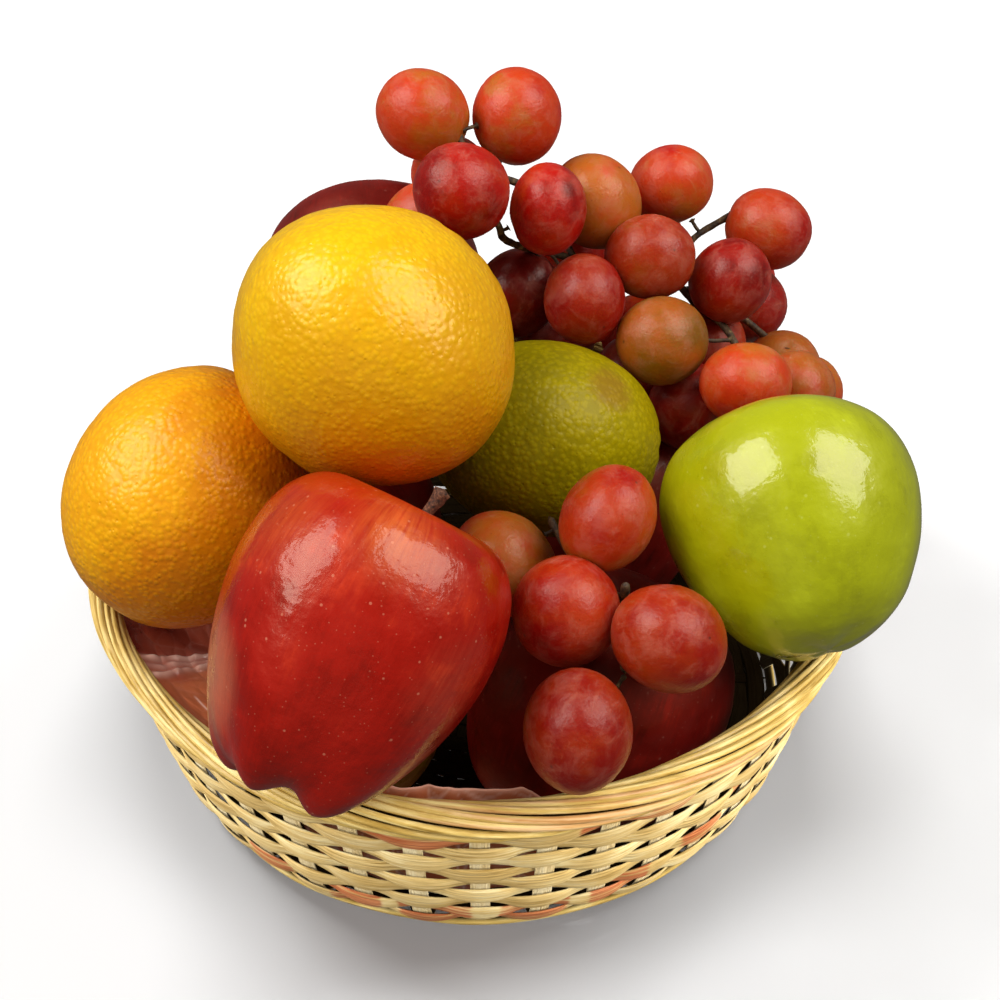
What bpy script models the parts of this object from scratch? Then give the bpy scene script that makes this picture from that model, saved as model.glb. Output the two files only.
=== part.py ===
# A round woven basket heaped with fruit: citrus, apples and two bunches of grapes.
# Lengths are in millimetres here and are turned into metres as each piece is made.

import math
import random

import bmesh
import bpy
from mathutils import Matrix, Vector

MM = 0.001
WELD = 0.02

# Woven bowl
STAKES = 39
ROWS = 9
BASE_RADIUS = 87.2
BASE_THICK = 3.2
WALL_OUTER = [(90.4, 0.3), (94.5, 2.5), (97.5, 5.5), (99.5, 10), (102, 20), (105, 35), (107.3, 48),
              (108.3, 53.4)]
WALL_INNER_LEVELS = [0.3, 6, 20, 52.6]
WALL_THICK = 3.4
WALL_FOOT_THICK = 2.8
WALL_TOP = 53.4
ROW_START = 6.8
ROW_PITCH = 5.55
WEAVE_RELIEF = 1.0

# Border of reeds bent over the top of the wall; each ridge runs round the border's section this many times
RIM_RADIUS = 109.5
RIM_HEIGHT = 60.8
RIM_THICK = 6.3
RIM_RIDGES = 12
REED_TURNS = 3
REED_RELIEF = 0.55

# Crumpled film standing inside the wall at the left and front
FILM_START, FILM_END = 168, 277
FILM_FOOT = 8
FILM_INSET = 7.8
FILM_THICK = 0.8
FILM_COLUMNS, FILM_LEVELS = 21, 4

# Fruit: centre, half width, half height, and the direction of the stem end
ORANGE_LEFT = {"place": (-79, -21, 94.5), "wide": 33.3, "high": 37.4, "top": (0.52, 0.54, 0.66)}
ORANGE_TOP = {"place": (-25.7, -19, 143.2), "wide": 38.2, "high": 35.5, "top": (0.65, 0.59, 0.48)}
LIME = {"place": (20, 6, 94.2), "wide": 28.3, "high": 34, "top": (0.98, 0.07, -0.19)}
FRUIT_LOW_LEFT = {"place": (-40, -46, 36), "wide": 31, "high": 30, "top": (-0.3, -0.2, 0.93)}
APPLE_GREEN = {"place": (84.8, -40.1, 97.6), "wide": 33.4, "high": 32.9, "top": (-0.23, 0.84, 0.48)}
APPLE_RED_FRONT = {"place": (-29.5, -89, 103.5), "wide": 34, "high": 37, "top": (0.43, 0.62, 0.65)}
APPLE_RED_BACK = {"place": (-33.5, 79, 96.2), "wide": 35.8, "high": 30.4, "top": (-0.12, 0.85, 0.52)}
APPLE_RED_LOW = {"place": (34, -50, 42.7), "wide": 35.8, "high": 34.4, "top": (0.4, 0.3, 0.87)}
APPLE_LOW_LEFT = {"place": (-48, 29.5, 42.5), "wide": 35.4, "high": 34.4, "top": (-0.5, 0.2, 0.84)}
APPLE_LOW_RIGHT = {"place": (38.5, 40, 40.8), "wide": 34.2, "high": 33.6, "top": (0.4, 0.5, 0.77)}
RED_STEM_TIP = (-8, -63, 131.5)
GREEN_STEM_TIP = (75.6, -10, 114.5)
BACK_STEM_TIP = (-42, 114, 116)
STEM_RADIUS = 1.0
STEM_GAP = 1.4

# Apple outlines from the stem hollow over the shoulder to the eye, as shares of half width and half height
TALL_APPLE = [(0, 0.62), (0.1, 0.68), (0.22, 0.84), (0.36, 0.96), (0.52, 1.0), (0.7, 0.94), (0.86, 0.78),
              (0.96, 0.55), (1.0, 0.28), (0.985, 0), (0.93, -0.26), (0.84, -0.5), (0.72, -0.72), (0.58, -0.9),
              (0.42, -0.99), (0.28, -0.96), (0.14, -0.88), (0, -0.85)]
ROUND_APPLE = [(0, 0.66), (0.09, 0.71), (0.2, 0.86), (0.34, 0.97), (0.5, 1.0), (0.7, 0.93), (0.87, 0.73),
               (0.97, 0.44), (1.0, 0.1), (0.97, -0.24), (0.88, -0.54), (0.73, -0.8), (0.55, -0.96),
               (0.38, -1.0), (0.22, -0.95), (0.1, -0.89), (0, -0.87)]
DOMED_APPLE = [(0, 0.76), (0.08, 0.8), (0.15, 0.91), (0.25, 0.985), (0.36, 1.0), (0.54, 0.94), (0.73, 0.8),
               (0.88, 0.58), (0.97, 0.32), (1.0, 0.04), (0.975, -0.24), (0.89, -0.52), (0.75, -0.77),
               (0.57, -0.94), (0.4, -1.0), (0.25, -0.97), (0.12, -0.93), (0, -0.92)]

# Grapes of the upper bunch that show from the front: x, y, z, radius
UPPER_GRAPES = [
    (-16, 76, 161.5, 13.6), (12, 82, 158, 13.9), (-4, 43, 154.5, 13.7), (21, 52.5, 143, 13.2),
    (36, 73, 134, 14), (61, 91, 130, 13.2), (92, 84, 118, 13.1), (52, 54, 126, 13.1),
    (32, 40, 120, 13), (77.5, 59, 114.5, 12.7), (55, 33, 110, 13.5), (87.5, 79, 93, 12.8),
    (79, 21, 103, 12.9), (96, 55, 84, 12.7), (99, 32, 93, 12.4), (108.5, 66, 70, 12.5),
    (12.5, 56, 112, 13.2), (65, 33, 86, 13), (72, 59, 90, 12.8), (-15, 57, 135.5, 12.9),
    (-8.5, 81, 139, 12.2),
]
# Main stalk of the upper bunch, then its side stalks
UPPER_STALKS = [
    [(-5, 72, 158.5), (-3, 62, 150), (6, 49, 141), (10, 54, 131), (30, 66, 118), (52, 72, 108),
     (66, 78, 106), (80, 68, 102), (90, 60, 100), (101, 48, 97)],
    [(66, 78, 106), (68, 83, 114.5), (81, 88.5, 121)],
    [(52, 72, 108), (63, 57, 113), (69, 48, 110), (75.5, 42, 107), (79, 38, 104.5)],
    [(30, 66, 118), (24, 82, 122), (14, 94, 128), (2, 98, 130)],
    [(66, 78, 106), (66, 90, 96), (64, 98, 86)],
]
LOWER_GRAPES = [
    (35, -47, 108.7, 13.4), (24, -66, 93.7, 14.1), (49, -79, 96.7, 14.1), (26, -98, 83.8, 14.3),
    (8, -42, 88.8, 14.1),
]
LOWER_STALKS = [
    [(20, -34, 98.5), (30, -52, 92), (38, -62, 95), (39, -64, 102)],
    [(38, -62, 95), (39, -76, 81)],
]
GRAPE_LONG, GRAPE_NARROW = 1.045, 0.975
STALK_RADIUS = 1.9
TWIG_RADIUS = 1.1

# Grapes on the far side, drawn by a seeded rule
REAR_GRAPES = 14
REAR_SEED = 5
REAR_TRIES = 30000
# The side that the heap is arranged for is seen from here
FRONT_VIEW = (7, -370, 382)


def clearScene():
    for thing in list(bpy.data.objects):
        bpy.data.objects.remove(thing, do_unlink=True)


def newCollection(name):
    group = bpy.data.collections.new(name)
    bpy.context.scene.collection.children.link(group)
    return group


def paint(name, colour, roughness):
    material = bpy.data.materials.new(name)
    material.use_nodes = True
    shader = material.node_tree.nodes["Principled BSDF"]
    shader.inputs["Base Color"].default_value = (*colour, 1)
    shader.inputs["Roughness"].default_value = roughness
    shader.inputs["Metallic"].default_value = 0
    material.diffuse_color = (*colour, 1)
    return material


def addObject(name, mesh, group, material, smooth=True):
    thing = bpy.data.objects.new(name, mesh)
    group.objects.link(thing)
    mesh.materials.append(material)
    for face in mesh.polygons:
        face.use_smooth = smooth
    return thing


def applied(thing):
    # Gives the object the mesh that its modifiers make
    graph = bpy.context.evaluated_depsgraph_get()
    mesh = bpy.data.meshes.new_from_object(thing.evaluated_get(graph))
    thing.modifiers.clear()
    thing.data = mesh
    return mesh


def stand(thing, place, top):
    # Puts the object at its place with +Z along top, and +Y as near upright as that leaves it
    up = Vector(top).normalized()
    guide = Vector((0, 0, 1)) if abs(up.z) < 0.95 else Vector((0, 1, 0))
    ahead = (guide - up * guide.dot(up)).normalized()
    thing.location = Vector(place) * MM
    thing.rotation_euler = Matrix((ahead.cross(up), ahead, up)).transposed().to_euler()
    return thing


def between(pairs, height):
    # Radius at a height, read along straight lines between (radius, height) pairs
    for (r0, z0), (r1, z1) in zip(pairs, pairs[1:]):
        if height <= z1:
            return r0 + (r1 - r0) * (height - z0) / (z1 - z0)
    return pairs[-1][0]


def addTurned(name, outline, closed, steps, group, material, smooth=True):
    # (radius, height) outline, down its outer side, turned about Z
    mesh = bpy.data.meshes.new(name)
    count = len(outline)
    edges = [(i, (i + 1) % count) for i in range(count if closed else count - 1)]
    mesh.from_pydata([(r * MM, 0, z * MM) for r, z in outline], edges, [])
    thing = addObject(name, mesh, group, material)
    screw = thing.modifiers.new("turn", "SCREW")
    screw.steps = screw.render_steps = steps
    screw.use_merge_vertices = True
    screw.merge_threshold = 0.00001
    screw.use_smooth_shade = smooth
    return thing


def addBall(name, segments, rings, group, material):
    ball = bmesh.new()
    bmesh.ops.create_uvsphere(ball, u_segments=segments, v_segments=rings, radius=1)
    mesh = bpy.data.meshes.new(name)
    ball.to_mesh(mesh)
    ball.free()
    return addObject(name, mesh, group, material)


def addRod(name, path, radii, group, material, sides=6):
    # Rod along a path, with closed ends
    curve = bpy.data.curves.new(name, "CURVE")
    curve.dimensions = "3D"
    curve.bevel_depth = MM
    curve.bevel_resolution = sides // 2 - 2
    curve.use_fill_caps = True
    spline = curve.splines.new("POLY")
    spline.points.add(len(path) - 1)
    for point, place, radius in zip(spline.points, path, radii):
        point.co = (*(Vector(place) * MM), 1)
        point.radius = radius
    guide = bpy.data.objects.new(name + "_line", curve)
    group.objects.link(guide)
    graph = bpy.context.evaluated_depsgraph_get()
    mesh = bpy.data.meshes.new_from_object(guide.evaluated_get(graph))
    bpy.data.objects.remove(guide, do_unlink=True)
    rod = bmesh.new()
    rod.from_mesh(mesh)
    bmesh.ops.remove_doubles(rod, verts=rod.verts, dist=WELD * MM)
    bmesh.ops.recalc_face_normals(rod, faces=rod.faces)
    rod.to_mesh(mesh)
    rod.free()
    return addObject(name, mesh, group, material)


def addCitrus(name, fruit, segments, rings, group, material, square=0.0):
    # Ball with a shallow dimple at each end; square below zero flattens it between its axes
    thing = addBall(name, segments, rings, group, material)
    for vertex in thing.data.vertices:
        x, y, z = vertex.co
        slope = math.acos(max(-1, min(1, z)))
        dimple = 0.035 * math.exp(-(slope / 0.28) ** 2) + 0.02 * math.exp(-((math.pi - slope) / 0.25) ** 2)
        spot = Vector((x * fruit["wide"], y * fruit["wide"], z * fruit["high"] * (1 - dimple)))
        fourth = sum(side ** 4 for side in spot) / spot.length ** 4
        vertex.co = spot * (1 + square * (0.6 - fourth)) * MM
    return stand(thing, fruit["place"], fruit["top"])


def addApple(name, fruit, outline, segments, group, material, lobes=0.02, spin=0.0, lean=0.0, taper=0.0):
    # Turned outline with five soft ribs that grow towards the eye end
    wide, high = fruit["wide"], fruit["high"]
    thing = addTurned(name, [(r * wide, z * high) for r, z in outline], False, segments, group, material)
    for vertex in applied(thing).vertices:
        x, y, z = vertex.co / MM
        radius, turn, share = math.hypot(x, y), math.atan2(y, x), z / high
        low = max(0, -share)
        rib = lobes * math.cos(5 * (turn - spin))
        z -= 1.3 * high * rib * low ** 2 * min(1, radius / (0.3 * wide))
        radius *= (1 + rib * (0.35 + low)) * (1 + taper * share)
        side = wide * (1 - share ** 2) * lean
        vertex.co = Vector((radius * math.cos(turn) + side, radius * math.sin(turn), z)) * MM
    return stand(thing, fruit["place"], fruit["top"])


def addStem(name, fruit, outline, tip, group, material):
    # Stem that stands clear of the floor of an apple's hollow and bends to its tip
    up = Vector(fruit["top"]).normalized()
    foot = Vector(fruit["place"]) + up * (outline[0][1] * fruit["high"] + STEM_GAP)
    tip = Vector(tip)
    reach = tip - foot
    path = [foot, foot + up * 0.35 * reach.length, tip - reach * 0.28, tip]
    return addRod(name, path, [STEM_RADIUS * share for share in (1, 1, 1.2, 2.1)], group, material)


def nearestOn(stalks, place):
    # Nearest point of any stalk
    best = None
    place = Vector(place)
    for stalk in stalks:
        for a, b in zip(stalk, stalk[1:]):
            a, b = Vector(a), Vector(b)
            t = max(0, min(1, (place - a).dot(b - a) / (b - a).length_squared))
            spot = a + (b - a) * t
            if best is None or (spot - place).length < (best - place).length:
                best = spot
    return best


def apart(place, radius, others, gap):
    return all((Vector(place) - Vector(o[:3])).length > radius + o[3] + gap for o in others)


def behind(place, radius, others):
    # True when a grape is hidden from the front by others that stand before it
    view = Vector(FRONT_VIEW)
    ray = Vector(place) - view
    across = ray.orthogonal().normalized()
    over = ray.normalized().cross(across)
    for k in range(16):
        a = math.pi * k / 8
        sight = (ray + (across * math.cos(a) + over * math.sin(a)) * radius * 0.96).normalized()
        if not any((Vector(o[:3]) - view).length < ray.length
                   and (Vector(o[:3]) - view).cross(sight).length < o[3] * 0.97 for o in others):
            return False
    return True


def rearGrapes(grapes, stalks, fruit):
    # Grapes on the side away from the front, each as near the stalk as the others leave room for
    draw = random.Random(REAR_SEED)
    added = []
    for _ in range(REAR_TRIES):
        if len(added) == REAR_GRAPES:
            break
        stalk = stalks[0][3:-1] if draw.random() < 0.6 else draw.choice(stalks[3:])
        root = Vector(draw.choice(stalk))
        way = Vector((draw.gauss(0, 1), abs(draw.gauss(0, 1)) + 0.2, draw.gauss(0, 0.9))).normalized()
        radius = draw.uniform(12.3, 13.7)
        spot = root + way * draw.uniform(radius + 4, 27)
        flat = math.hypot(spot.x, spot.y)
        if flat > 96 and spot.z < RIM_HEIGHT + 24 or spot.z < 52:
            continue
        if (nearestOn(stalks, spot) - spot).length < radius + 1.5:
            continue
        if not behind(spot, radius, grapes + fruit):
            continue
        if apart(spot, radius, grapes + added, -0.5) and apart(spot, radius, fruit, 1.2):
            added.append((*spot, radius))
    return added


def addBunch(name, grapes, stalks, segments, rings, group, material):
    # Long grapes that point away from the stalk, each with a twig, all joined into one body
    cutters = newCollection(name + "_cutters")
    for x, y, z, radius in grapes:
        root = nearestOn(stalks, (x, y, z))
        away = (Vector((x, y, z)) - root).normalized()
        grape = addBall("grape", segments, rings, cutters, material)
        for vertex in grape.data.vertices:
            vertex.co *= radius * GRAPE_NARROW * MM
            vertex.co.z *= GRAPE_LONG / GRAPE_NARROW
        stand(grape, (x, y, z), away)
        inside = Vector((x, y, z)) - away * radius * 0.6
        addRod("twig", [root - away * 0.4, inside], [TWIG_RADIUS] * 2, cutters, material, 4)
    for stalk in stalks:
        addRod("stalk", stalk, [STALK_RADIUS] * len(stalk), cutters, material)
    bunch = cutters.objects[0]
    cutters.objects.unlink(bunch)
    group.objects.link(bunch)
    for part in cutters.objects:
        part.display_type = "WIRE"
        part.hide_render = True
    join = bunch.modifiers.new("join", "BOOLEAN")
    join.operation = "UNION"
    join.operand_type = "COLLECTION"
    join.collection = cutters
    join.solver = "MANIFOLD"
    applied(bunch)
    bunch.name = bunch.data.name = name
    for part in list(cutters.objects):
        bpy.data.objects.remove(part, do_unlink=True)
    bpy.data.collections.remove(cutters)
    return bunch


def addBase(group, material):
    disc = bmesh.new()
    bmesh.ops.create_cone(disc, cap_ends=True, segments=STAKES, radius1=BASE_RADIUS * MM,
                          radius2=BASE_RADIUS * MM, depth=BASE_THICK * MM)
    mesh = bpy.data.meshes.new("basket_base")
    disc.to_mesh(mesh)
    disc.free()
    addObject("basket_base", mesh, group, material, False).location.z = BASE_THICK / 2 * MM


def addWall(group, material):
    # Two columns a stake; each row of weaving stands out at every second stake
    rows = [ROW_START + ROW_PITCH * row for row in range(ROWS - 1)]
    outer = [(between(WALL_OUTER, z), z) for z in [WALL_TOP, *reversed(rows), 3.0, 0.3]]
    inner = [(between(WALL_OUTER, z) - WALL_THICK, z) for z in WALL_INNER_LEVELS]
    inner[0] = (inner[0][0] + WALL_THICK - WALL_FOOT_THICK, inner[0][1])
    thing = addTurned("basket_wall", outer + inner, True, 2 * STAKES, group, material, False)
    for vertex in applied(thing).vertices:
        x, y, z = vertex.co / MM
        row = round((z - ROW_START) / ROW_PITCH)
        column = round((math.atan2(y, x) - math.pi / 2) / math.pi * STAKES - 0.5) % (2 * STAKES)
        radius = math.hypot(x, y)
        if radius < between(WALL_OUTER, z) - 1 or not ROW_START - 1 < z < WALL_TOP - 1:
            continue
        stake, middle = divmod(column, 2)
        relief = -0.2 if not middle else WEAVE_RELIEF * (1 if (stake + row) % 2 else -1)
        vertex.co.x *= 1 + relief / radius
        vertex.co.y *= 1 + relief / radius


def addRim(group, material):
    # The ridges run over the border from the inside to the outside as they go round
    bpy.ops.mesh.primitive_torus_add(
        major_segments=STAKES, minor_segments=2 * RIM_RIDGES, major_radius=RIM_RADIUS * MM,
        minor_radius=RIM_THICK * MM, location=(0, 0, RIM_HEIGHT * MM))
    thing = bpy.context.object
    thing.name = thing.data.name = "basket_rim"
    for holder in list(thing.users_collection):
        holder.objects.unlink(thing)
    group.objects.link(thing)
    thing.data.materials.append(material)
    thing.data.shade_smooth()
    for vertex in thing.data.vertices:
        x, y, z = vertex.co / MM
        turn = math.atan2(y, x)
        slope = math.atan2(z, math.hypot(x, y) - RIM_RADIUS)
        ridge = round(slope * RIM_RIDGES / math.pi) % 2
        thick = RIM_THICK + (REED_RELIEF if ridge else -REED_RELIEF)
        slope -= REED_TURNS * turn
        radius = RIM_RADIUS + thick * math.cos(slope) * 0.94
        vertex.co = Vector((radius * math.cos(turn), radius * math.sin(turn), thick * math.sin(slope))) * MM


def filmTop(turn):
    # Height of the upper edge: low under the left orange, high at the front
    return 60 - 6 * math.exp(-((turn - 192) / 16) ** 2) - 5 * math.exp(-((turn - 250) / 9) ** 2)


def addFilm(group, material):
    # Flat grid bent round inside the wall and crumpled
    grid = bmesh.new()
    bmesh.ops.create_grid(grid, x_segments=FILM_COLUMNS, y_segments=FILM_LEVELS, size=1)
    for vertex in grid.verts:
        share, column = (vertex.co.y + 1) / 2, (vertex.co.x + 1) / 2 * FILM_COLUMNS
        turn = FILM_START + (FILM_END - FILM_START) * (vertex.co.x + 1) / 2
        z = FILM_FOOT + (filmTop(turn) - FILM_FOOT) * share
        fold = 1.5 * math.sin(0.9 * column + 2.2 * share) + 0.9 * math.sin(2.3 * column + 5 * share)
        radius = between(WALL_OUTER, z) - FILM_INSET + fold
        turn = math.radians(turn)
        vertex.co = Vector((radius * math.cos(turn), radius * math.sin(turn), z)) * MM
    mesh = bpy.data.meshes.new("film_liner")
    grid.to_mesh(mesh)
    grid.free()
    thing = addObject("film_liner", mesh, group, material)
    skin = thing.modifiers.new("thickness", "SOLIDIFY")
    skin.thickness = FILM_THICK * MM
    skin.offset = -1


clearScene()
basket = newCollection("fruit_basket")
straw = paint("straw", (0.74, 0.6, 0.3), 0.55)
reed = paint("pale_reed", (0.83, 0.72, 0.37), 0.5)
film = paint("clear_film", (0.5, 0.33, 0.26), 0.2)
orangeSkin = paint("orange_skin", (0.83, 0.38, 0.02), 0.4)
yellowSkin = paint("yellow_orange_skin", (0.87, 0.55, 0.03), 0.38)
limeSkin = paint("lime_skin", (0.17, 0.2, 0.01), 0.4)
oliveSkin = paint("olive_skin", (0.33, 0.28, 0.03), 0.45)
greenSkin = paint("green_apple_skin", (0.38, 0.5, 0.02), 0.3)
redSkin = paint("red_apple_skin", (0.42, 0.02, 0.01), 0.3)
darkRedSkin = paint("dark_red_apple_skin", (0.25, 0.01, 0.01), 0.35)
grapeSkin = paint("grape_skin", (0.42, 0.06, 0.03), 0.35)
stemBark = paint("stem_bark", (0.16, 0.09, 0.03), 0.7)

addBase(basket, straw)
addWall(basket, straw)
addRim(basket, reed)
addFilm(basket, film)

addCitrus("orange_left", ORANGE_LEFT, 20, 11, basket, orangeSkin)
addCitrus("orange_top", ORANGE_TOP, 20, 11, basket, yellowSkin, square=-0.086)
addCitrus("lime", LIME, 18, 9, basket, limeSkin)
addCitrus("fruit_low_left", FRUIT_LOW_LEFT, 14, 8, basket, oliveSkin)
addApple("apple_green", APPLE_GREEN, DOMED_APPLE, 18, basket, greenSkin, lobes=0.008, lean=-0.05, taper=0.16)
addApple("apple_red_front", APPLE_RED_FRONT, TALL_APPLE, 25, basket, redSkin,
         lobes=0.043, spin=0.33, taper=0.045)
addApple("apple_red_back", APPLE_RED_BACK, ROUND_APPLE, 14, basket, darkRedSkin, lobes=0.015)
addApple("apple_red_low", APPLE_RED_LOW, ROUND_APPLE, 14, basket, darkRedSkin)
addApple("apple_low_left", APPLE_LOW_LEFT, ROUND_APPLE, 10, basket, darkRedSkin)
addApple("apple_low_right", APPLE_LOW_RIGHT, ROUND_APPLE, 10, basket, darkRedSkin)
addStem("apple_red_front_stem", APPLE_RED_FRONT, TALL_APPLE, RED_STEM_TIP, basket, stemBark)
addStem("apple_green_stem", APPLE_GREEN, DOMED_APPLE, GREEN_STEM_TIP, basket, stemBark)
addStem("apple_red_back_stem", APPLE_RED_BACK, ROUND_APPLE, BACK_STEM_TIP, basket, stemBark)

largeFruit = [ORANGE_LEFT, ORANGE_TOP, LIME, FRUIT_LOW_LEFT, APPLE_GREEN, APPLE_RED_FRONT, APPLE_RED_BACK,
              APPLE_RED_LOW, APPLE_LOW_LEFT, APPLE_LOW_RIGHT]
neighbours = [(*fruit["place"], max(fruit["wide"], fruit["high"])) for fruit in largeFruit]
allUpper = UPPER_GRAPES + rearGrapes(UPPER_GRAPES, UPPER_STALKS, neighbours)
addBunch("grape_bunch_upper", allUpper, UPPER_STALKS, 8, 6, basket, grapeSkin)
addBunch("grape_bunch_lower", LOWER_GRAPES, LOWER_STALKS, 10, 7, basket, grapeSkin)
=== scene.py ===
import math
import random

import bpy
import numpy as np
from mathutils import Matrix, Vector, noise


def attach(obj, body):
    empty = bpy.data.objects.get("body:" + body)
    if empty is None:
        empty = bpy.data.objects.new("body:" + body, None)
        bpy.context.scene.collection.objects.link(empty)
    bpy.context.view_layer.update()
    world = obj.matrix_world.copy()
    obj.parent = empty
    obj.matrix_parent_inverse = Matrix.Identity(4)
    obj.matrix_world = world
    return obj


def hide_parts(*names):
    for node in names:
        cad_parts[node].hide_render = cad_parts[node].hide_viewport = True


# Fruit gift basket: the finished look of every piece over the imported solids.
# Sizes in the dictionaries are in millimetres and degrees, meshes are in metres.
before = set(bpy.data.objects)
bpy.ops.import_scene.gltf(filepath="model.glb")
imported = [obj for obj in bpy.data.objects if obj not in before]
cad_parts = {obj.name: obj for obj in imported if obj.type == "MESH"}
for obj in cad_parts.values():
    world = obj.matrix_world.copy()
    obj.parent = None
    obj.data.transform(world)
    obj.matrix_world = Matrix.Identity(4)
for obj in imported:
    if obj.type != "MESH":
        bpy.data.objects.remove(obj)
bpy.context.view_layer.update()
bpy.ops.object.select_all(action="DESELECT")

mm = 0.001


def picked(*pieces):
    bpy.ops.object.select_all(action="DESELECT")
    for piece in pieces:
        piece.select_set(True)
    bpy.context.view_layer.objects.active = pieces[0]


def named(name):
    # The piece that was just added
    piece = bpy.context.object
    piece.name = name
    return piece


def ball(name, segments, rings):
    # A sphere of radius 1, its points and the angle of each
    bpy.ops.mesh.primitive_uv_sphere_add(segments=segments, ring_count=rings, radius=1)
    piece = named(name)
    unit = readVectors(piece)
    return piece, unit, np.arctan2(unit[:, 1], unit[:, 0])


def readVectors(piece, name="position"):
    values = np.empty(len(piece.data.vertices) * 3)
    piece.data.attributes[name].data.foreach_get("vector", values)
    return values.reshape(-1, 3)


def writePoints(piece, points):
    # Places in millimetres
    piece.data.vertices.foreach_set("co", np.ascontiguousarray(points * mm, dtype=np.float32).ravel())
    piece.data.update()


def writeFields(piece, **fields):
    # A number or a vector for each vertex, which the materials read back by name
    for name, values in fields.items():
        values = np.asarray(values, dtype=np.float32)
        kind, part = ("FLOAT_VECTOR", "vector") if values.ndim == 2 else ("FLOAT", "value")
        if values.ndim == 0:
            values = np.full(len(piece.data.vertices), values)
        layer = piece.data.attributes.get(name) or piece.data.attributes.new(name, kind, "POINT")
        layer.data.foreach_set(part, np.ascontiguousarray(values).ravel())


def closeUp(piece):
    # Seams and poles are merged and every face is turned outwards
    picked(piece)
    bpy.ops.object.mode_set(mode="EDIT")
    bpy.ops.mesh.select_all(action="SELECT")
    bpy.ops.mesh.remove_doubles(threshold=0.002 * mm)
    bpy.ops.mesh.normals_make_consistent(inside=False)
    bpy.ops.object.mode_set(mode="OBJECT")


def joined(pieces, name):
    picked(*pieces)
    bpy.ops.object.join()
    pieces[0].name = name
    pieces[0].data.name = name
    return pieces[0]


def finished(piece, material, slot, *nodes):
    piece.data.materials.clear()
    piece.data.materials.append(material)
    piece.data.shade_smooth()
    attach(piece, "root")
    if nodes:
        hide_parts(*nodes)
    return piece


def rise(value, start, width):
    # From 0 at start to 1 at start + width, which may lie below it
    return np.clip((value - start) / width, 0, 1)


def bell(value, middle, width):
    return np.exp(-((value - middle) / width) ** 2)


def eased(share):
    return share * share * (3 - 2 * share)


def unitRows(vectors):
    return vectors / np.maximum(np.linalg.norm(vectors, axis=1, keepdims=True), 1e-9)


def aimed(side):
    return np.array(Vector(side).normalized())


def ringed(radius, turn, z):
    # Points at a radius, an angle and a height
    return np.column_stack(np.broadcast_arrays(radius * np.cos(turn), radius * np.sin(turn), z))


def lengthAlong(path):
    return np.concatenate([[0], np.cumsum(np.linalg.norm(np.diff(path, axis=0), axis=1))])


def curveAt(padded, spots):
    # Catmull-Rom through points that have one more at each end
    start = spots.astype(int)
    part = (spots - start)[:, None]
    a, b, c, d = (padded[start + shift] for shift in range(4))
    return 0.5 * (2 * b + (c - a) * part + (2 * a - 5 * b + 4 * c - d) * part ** 2
                  + (3 * b - 3 * c + d - a) * part ** 3)


def smoothPath(points, count):
    # A curve through the points, at evenly spaced places
    points = np.asarray(points, float)
    padded = np.vstack([2 * points[0] - points[1], points, 2 * points[-1] - points[-2]])
    curve = curveAt(padded, np.linspace(0, len(points) - 1 - 1e-9, max(count * 4, 40)))
    length = lengthAlong(curve)
    even = np.linspace(0, length[-1], count)
    return np.column_stack([np.interp(even, length, curve[:, axis]) for axis in range(3)])


def wobble(points, size, seed=0):
    # Smooth noise from -1 to 1 at each point; size is the width of a lump in the points' own unit
    shift = Vector((seed * 17.3, seed * 5.1, seed * 9.7))
    return np.array([noise.noise(Vector(point) / size + shift) for point in points])


def strand(name, path, outward, wide, thick, around=12, flat=0, phase=0, tone=0):
    # A grid is wrapped round a path into one closed strand: wide across, thick outwards.
    # "fibre" holds the place along, the place across, and the tone of the strand.
    path = np.asarray(path, float)
    count = len(path)
    wide, thick, tone = (np.broadcast_to(np.asarray(value, float), (count,)) for value in (wide, thick, tone))
    bpy.ops.mesh.primitive_grid_add(x_subdivisions=count - 1, y_subdivisions=around, size=1)
    piece = named(name)
    grid = readVectors(piece)
    step = np.rint((grid[:, 0] + 0.5) * (count - 1)).astype(int)
    turn = (grid[:, 1] + 0.5) * 2 * math.pi
    ahead = unitRows(np.gradient(path, axis=0))
    outward = np.broadcast_to(np.asarray(outward, float), path.shape)
    outward = unitRows(outward - ahead * np.sum(outward * ahead, axis=1, keepdims=True))
    aside = np.cross(ahead, outward)
    side, height = np.sin(turn), np.cos(turn)
    if flat:
        # A flat strand has a squarer section
        side = np.sign(side) * np.abs(side) ** (1 - 0.5 * flat)
        height = np.sign(height) * np.abs(height) ** (1 - 0.6 * flat)
    closing = np.where((step == 0) | (step == count - 1), 0, 1)
    points = (path[step] + aside[step] * (wide[step] * side * closing)[:, None]
              + outward[step] * (thick[step] * height * closing)[:, None])
    writePoints(piece, points)
    length = lengthAlong(path) + phase
    fibre = np.column_stack([length[step], wide[step] * side, tone[step] * 40 + height * 0.4])
    # inner marks the inward face of a strand, which the straw materials darken as painted shade
    writeFields(piece, fibre=fibre, tone=tone[step], inner=rise(height, 0.25, -0.45))
    return piece


# Materials: the helpers add their nodes to the newest one

def colour(code):
    shares = [int(code[place:place + 2], 16) / 255 for place in (0, 2, 4)]
    return (*[share / 12.92 if share <= 0.04045 else ((share + 0.055) / 1.055) ** 2.4 for share in shares], 1)


def newMaterial(name, **settings):
    global nodeTree
    material = bpy.data.materials.new(name)
    material.use_nodes = True
    nodeTree = material.node_tree
    for socket, value in settings.items():
        nodeTree.nodes["Principled BSDF"].inputs[socket.replace("_", " ")].default_value = value
    return material


def connect(**outputs):
    for socket, output in outputs.items():
        nodeTree.links.new(output, nodeTree.nodes["Principled BSDF"].inputs[socket.replace("_", " ")])


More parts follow.
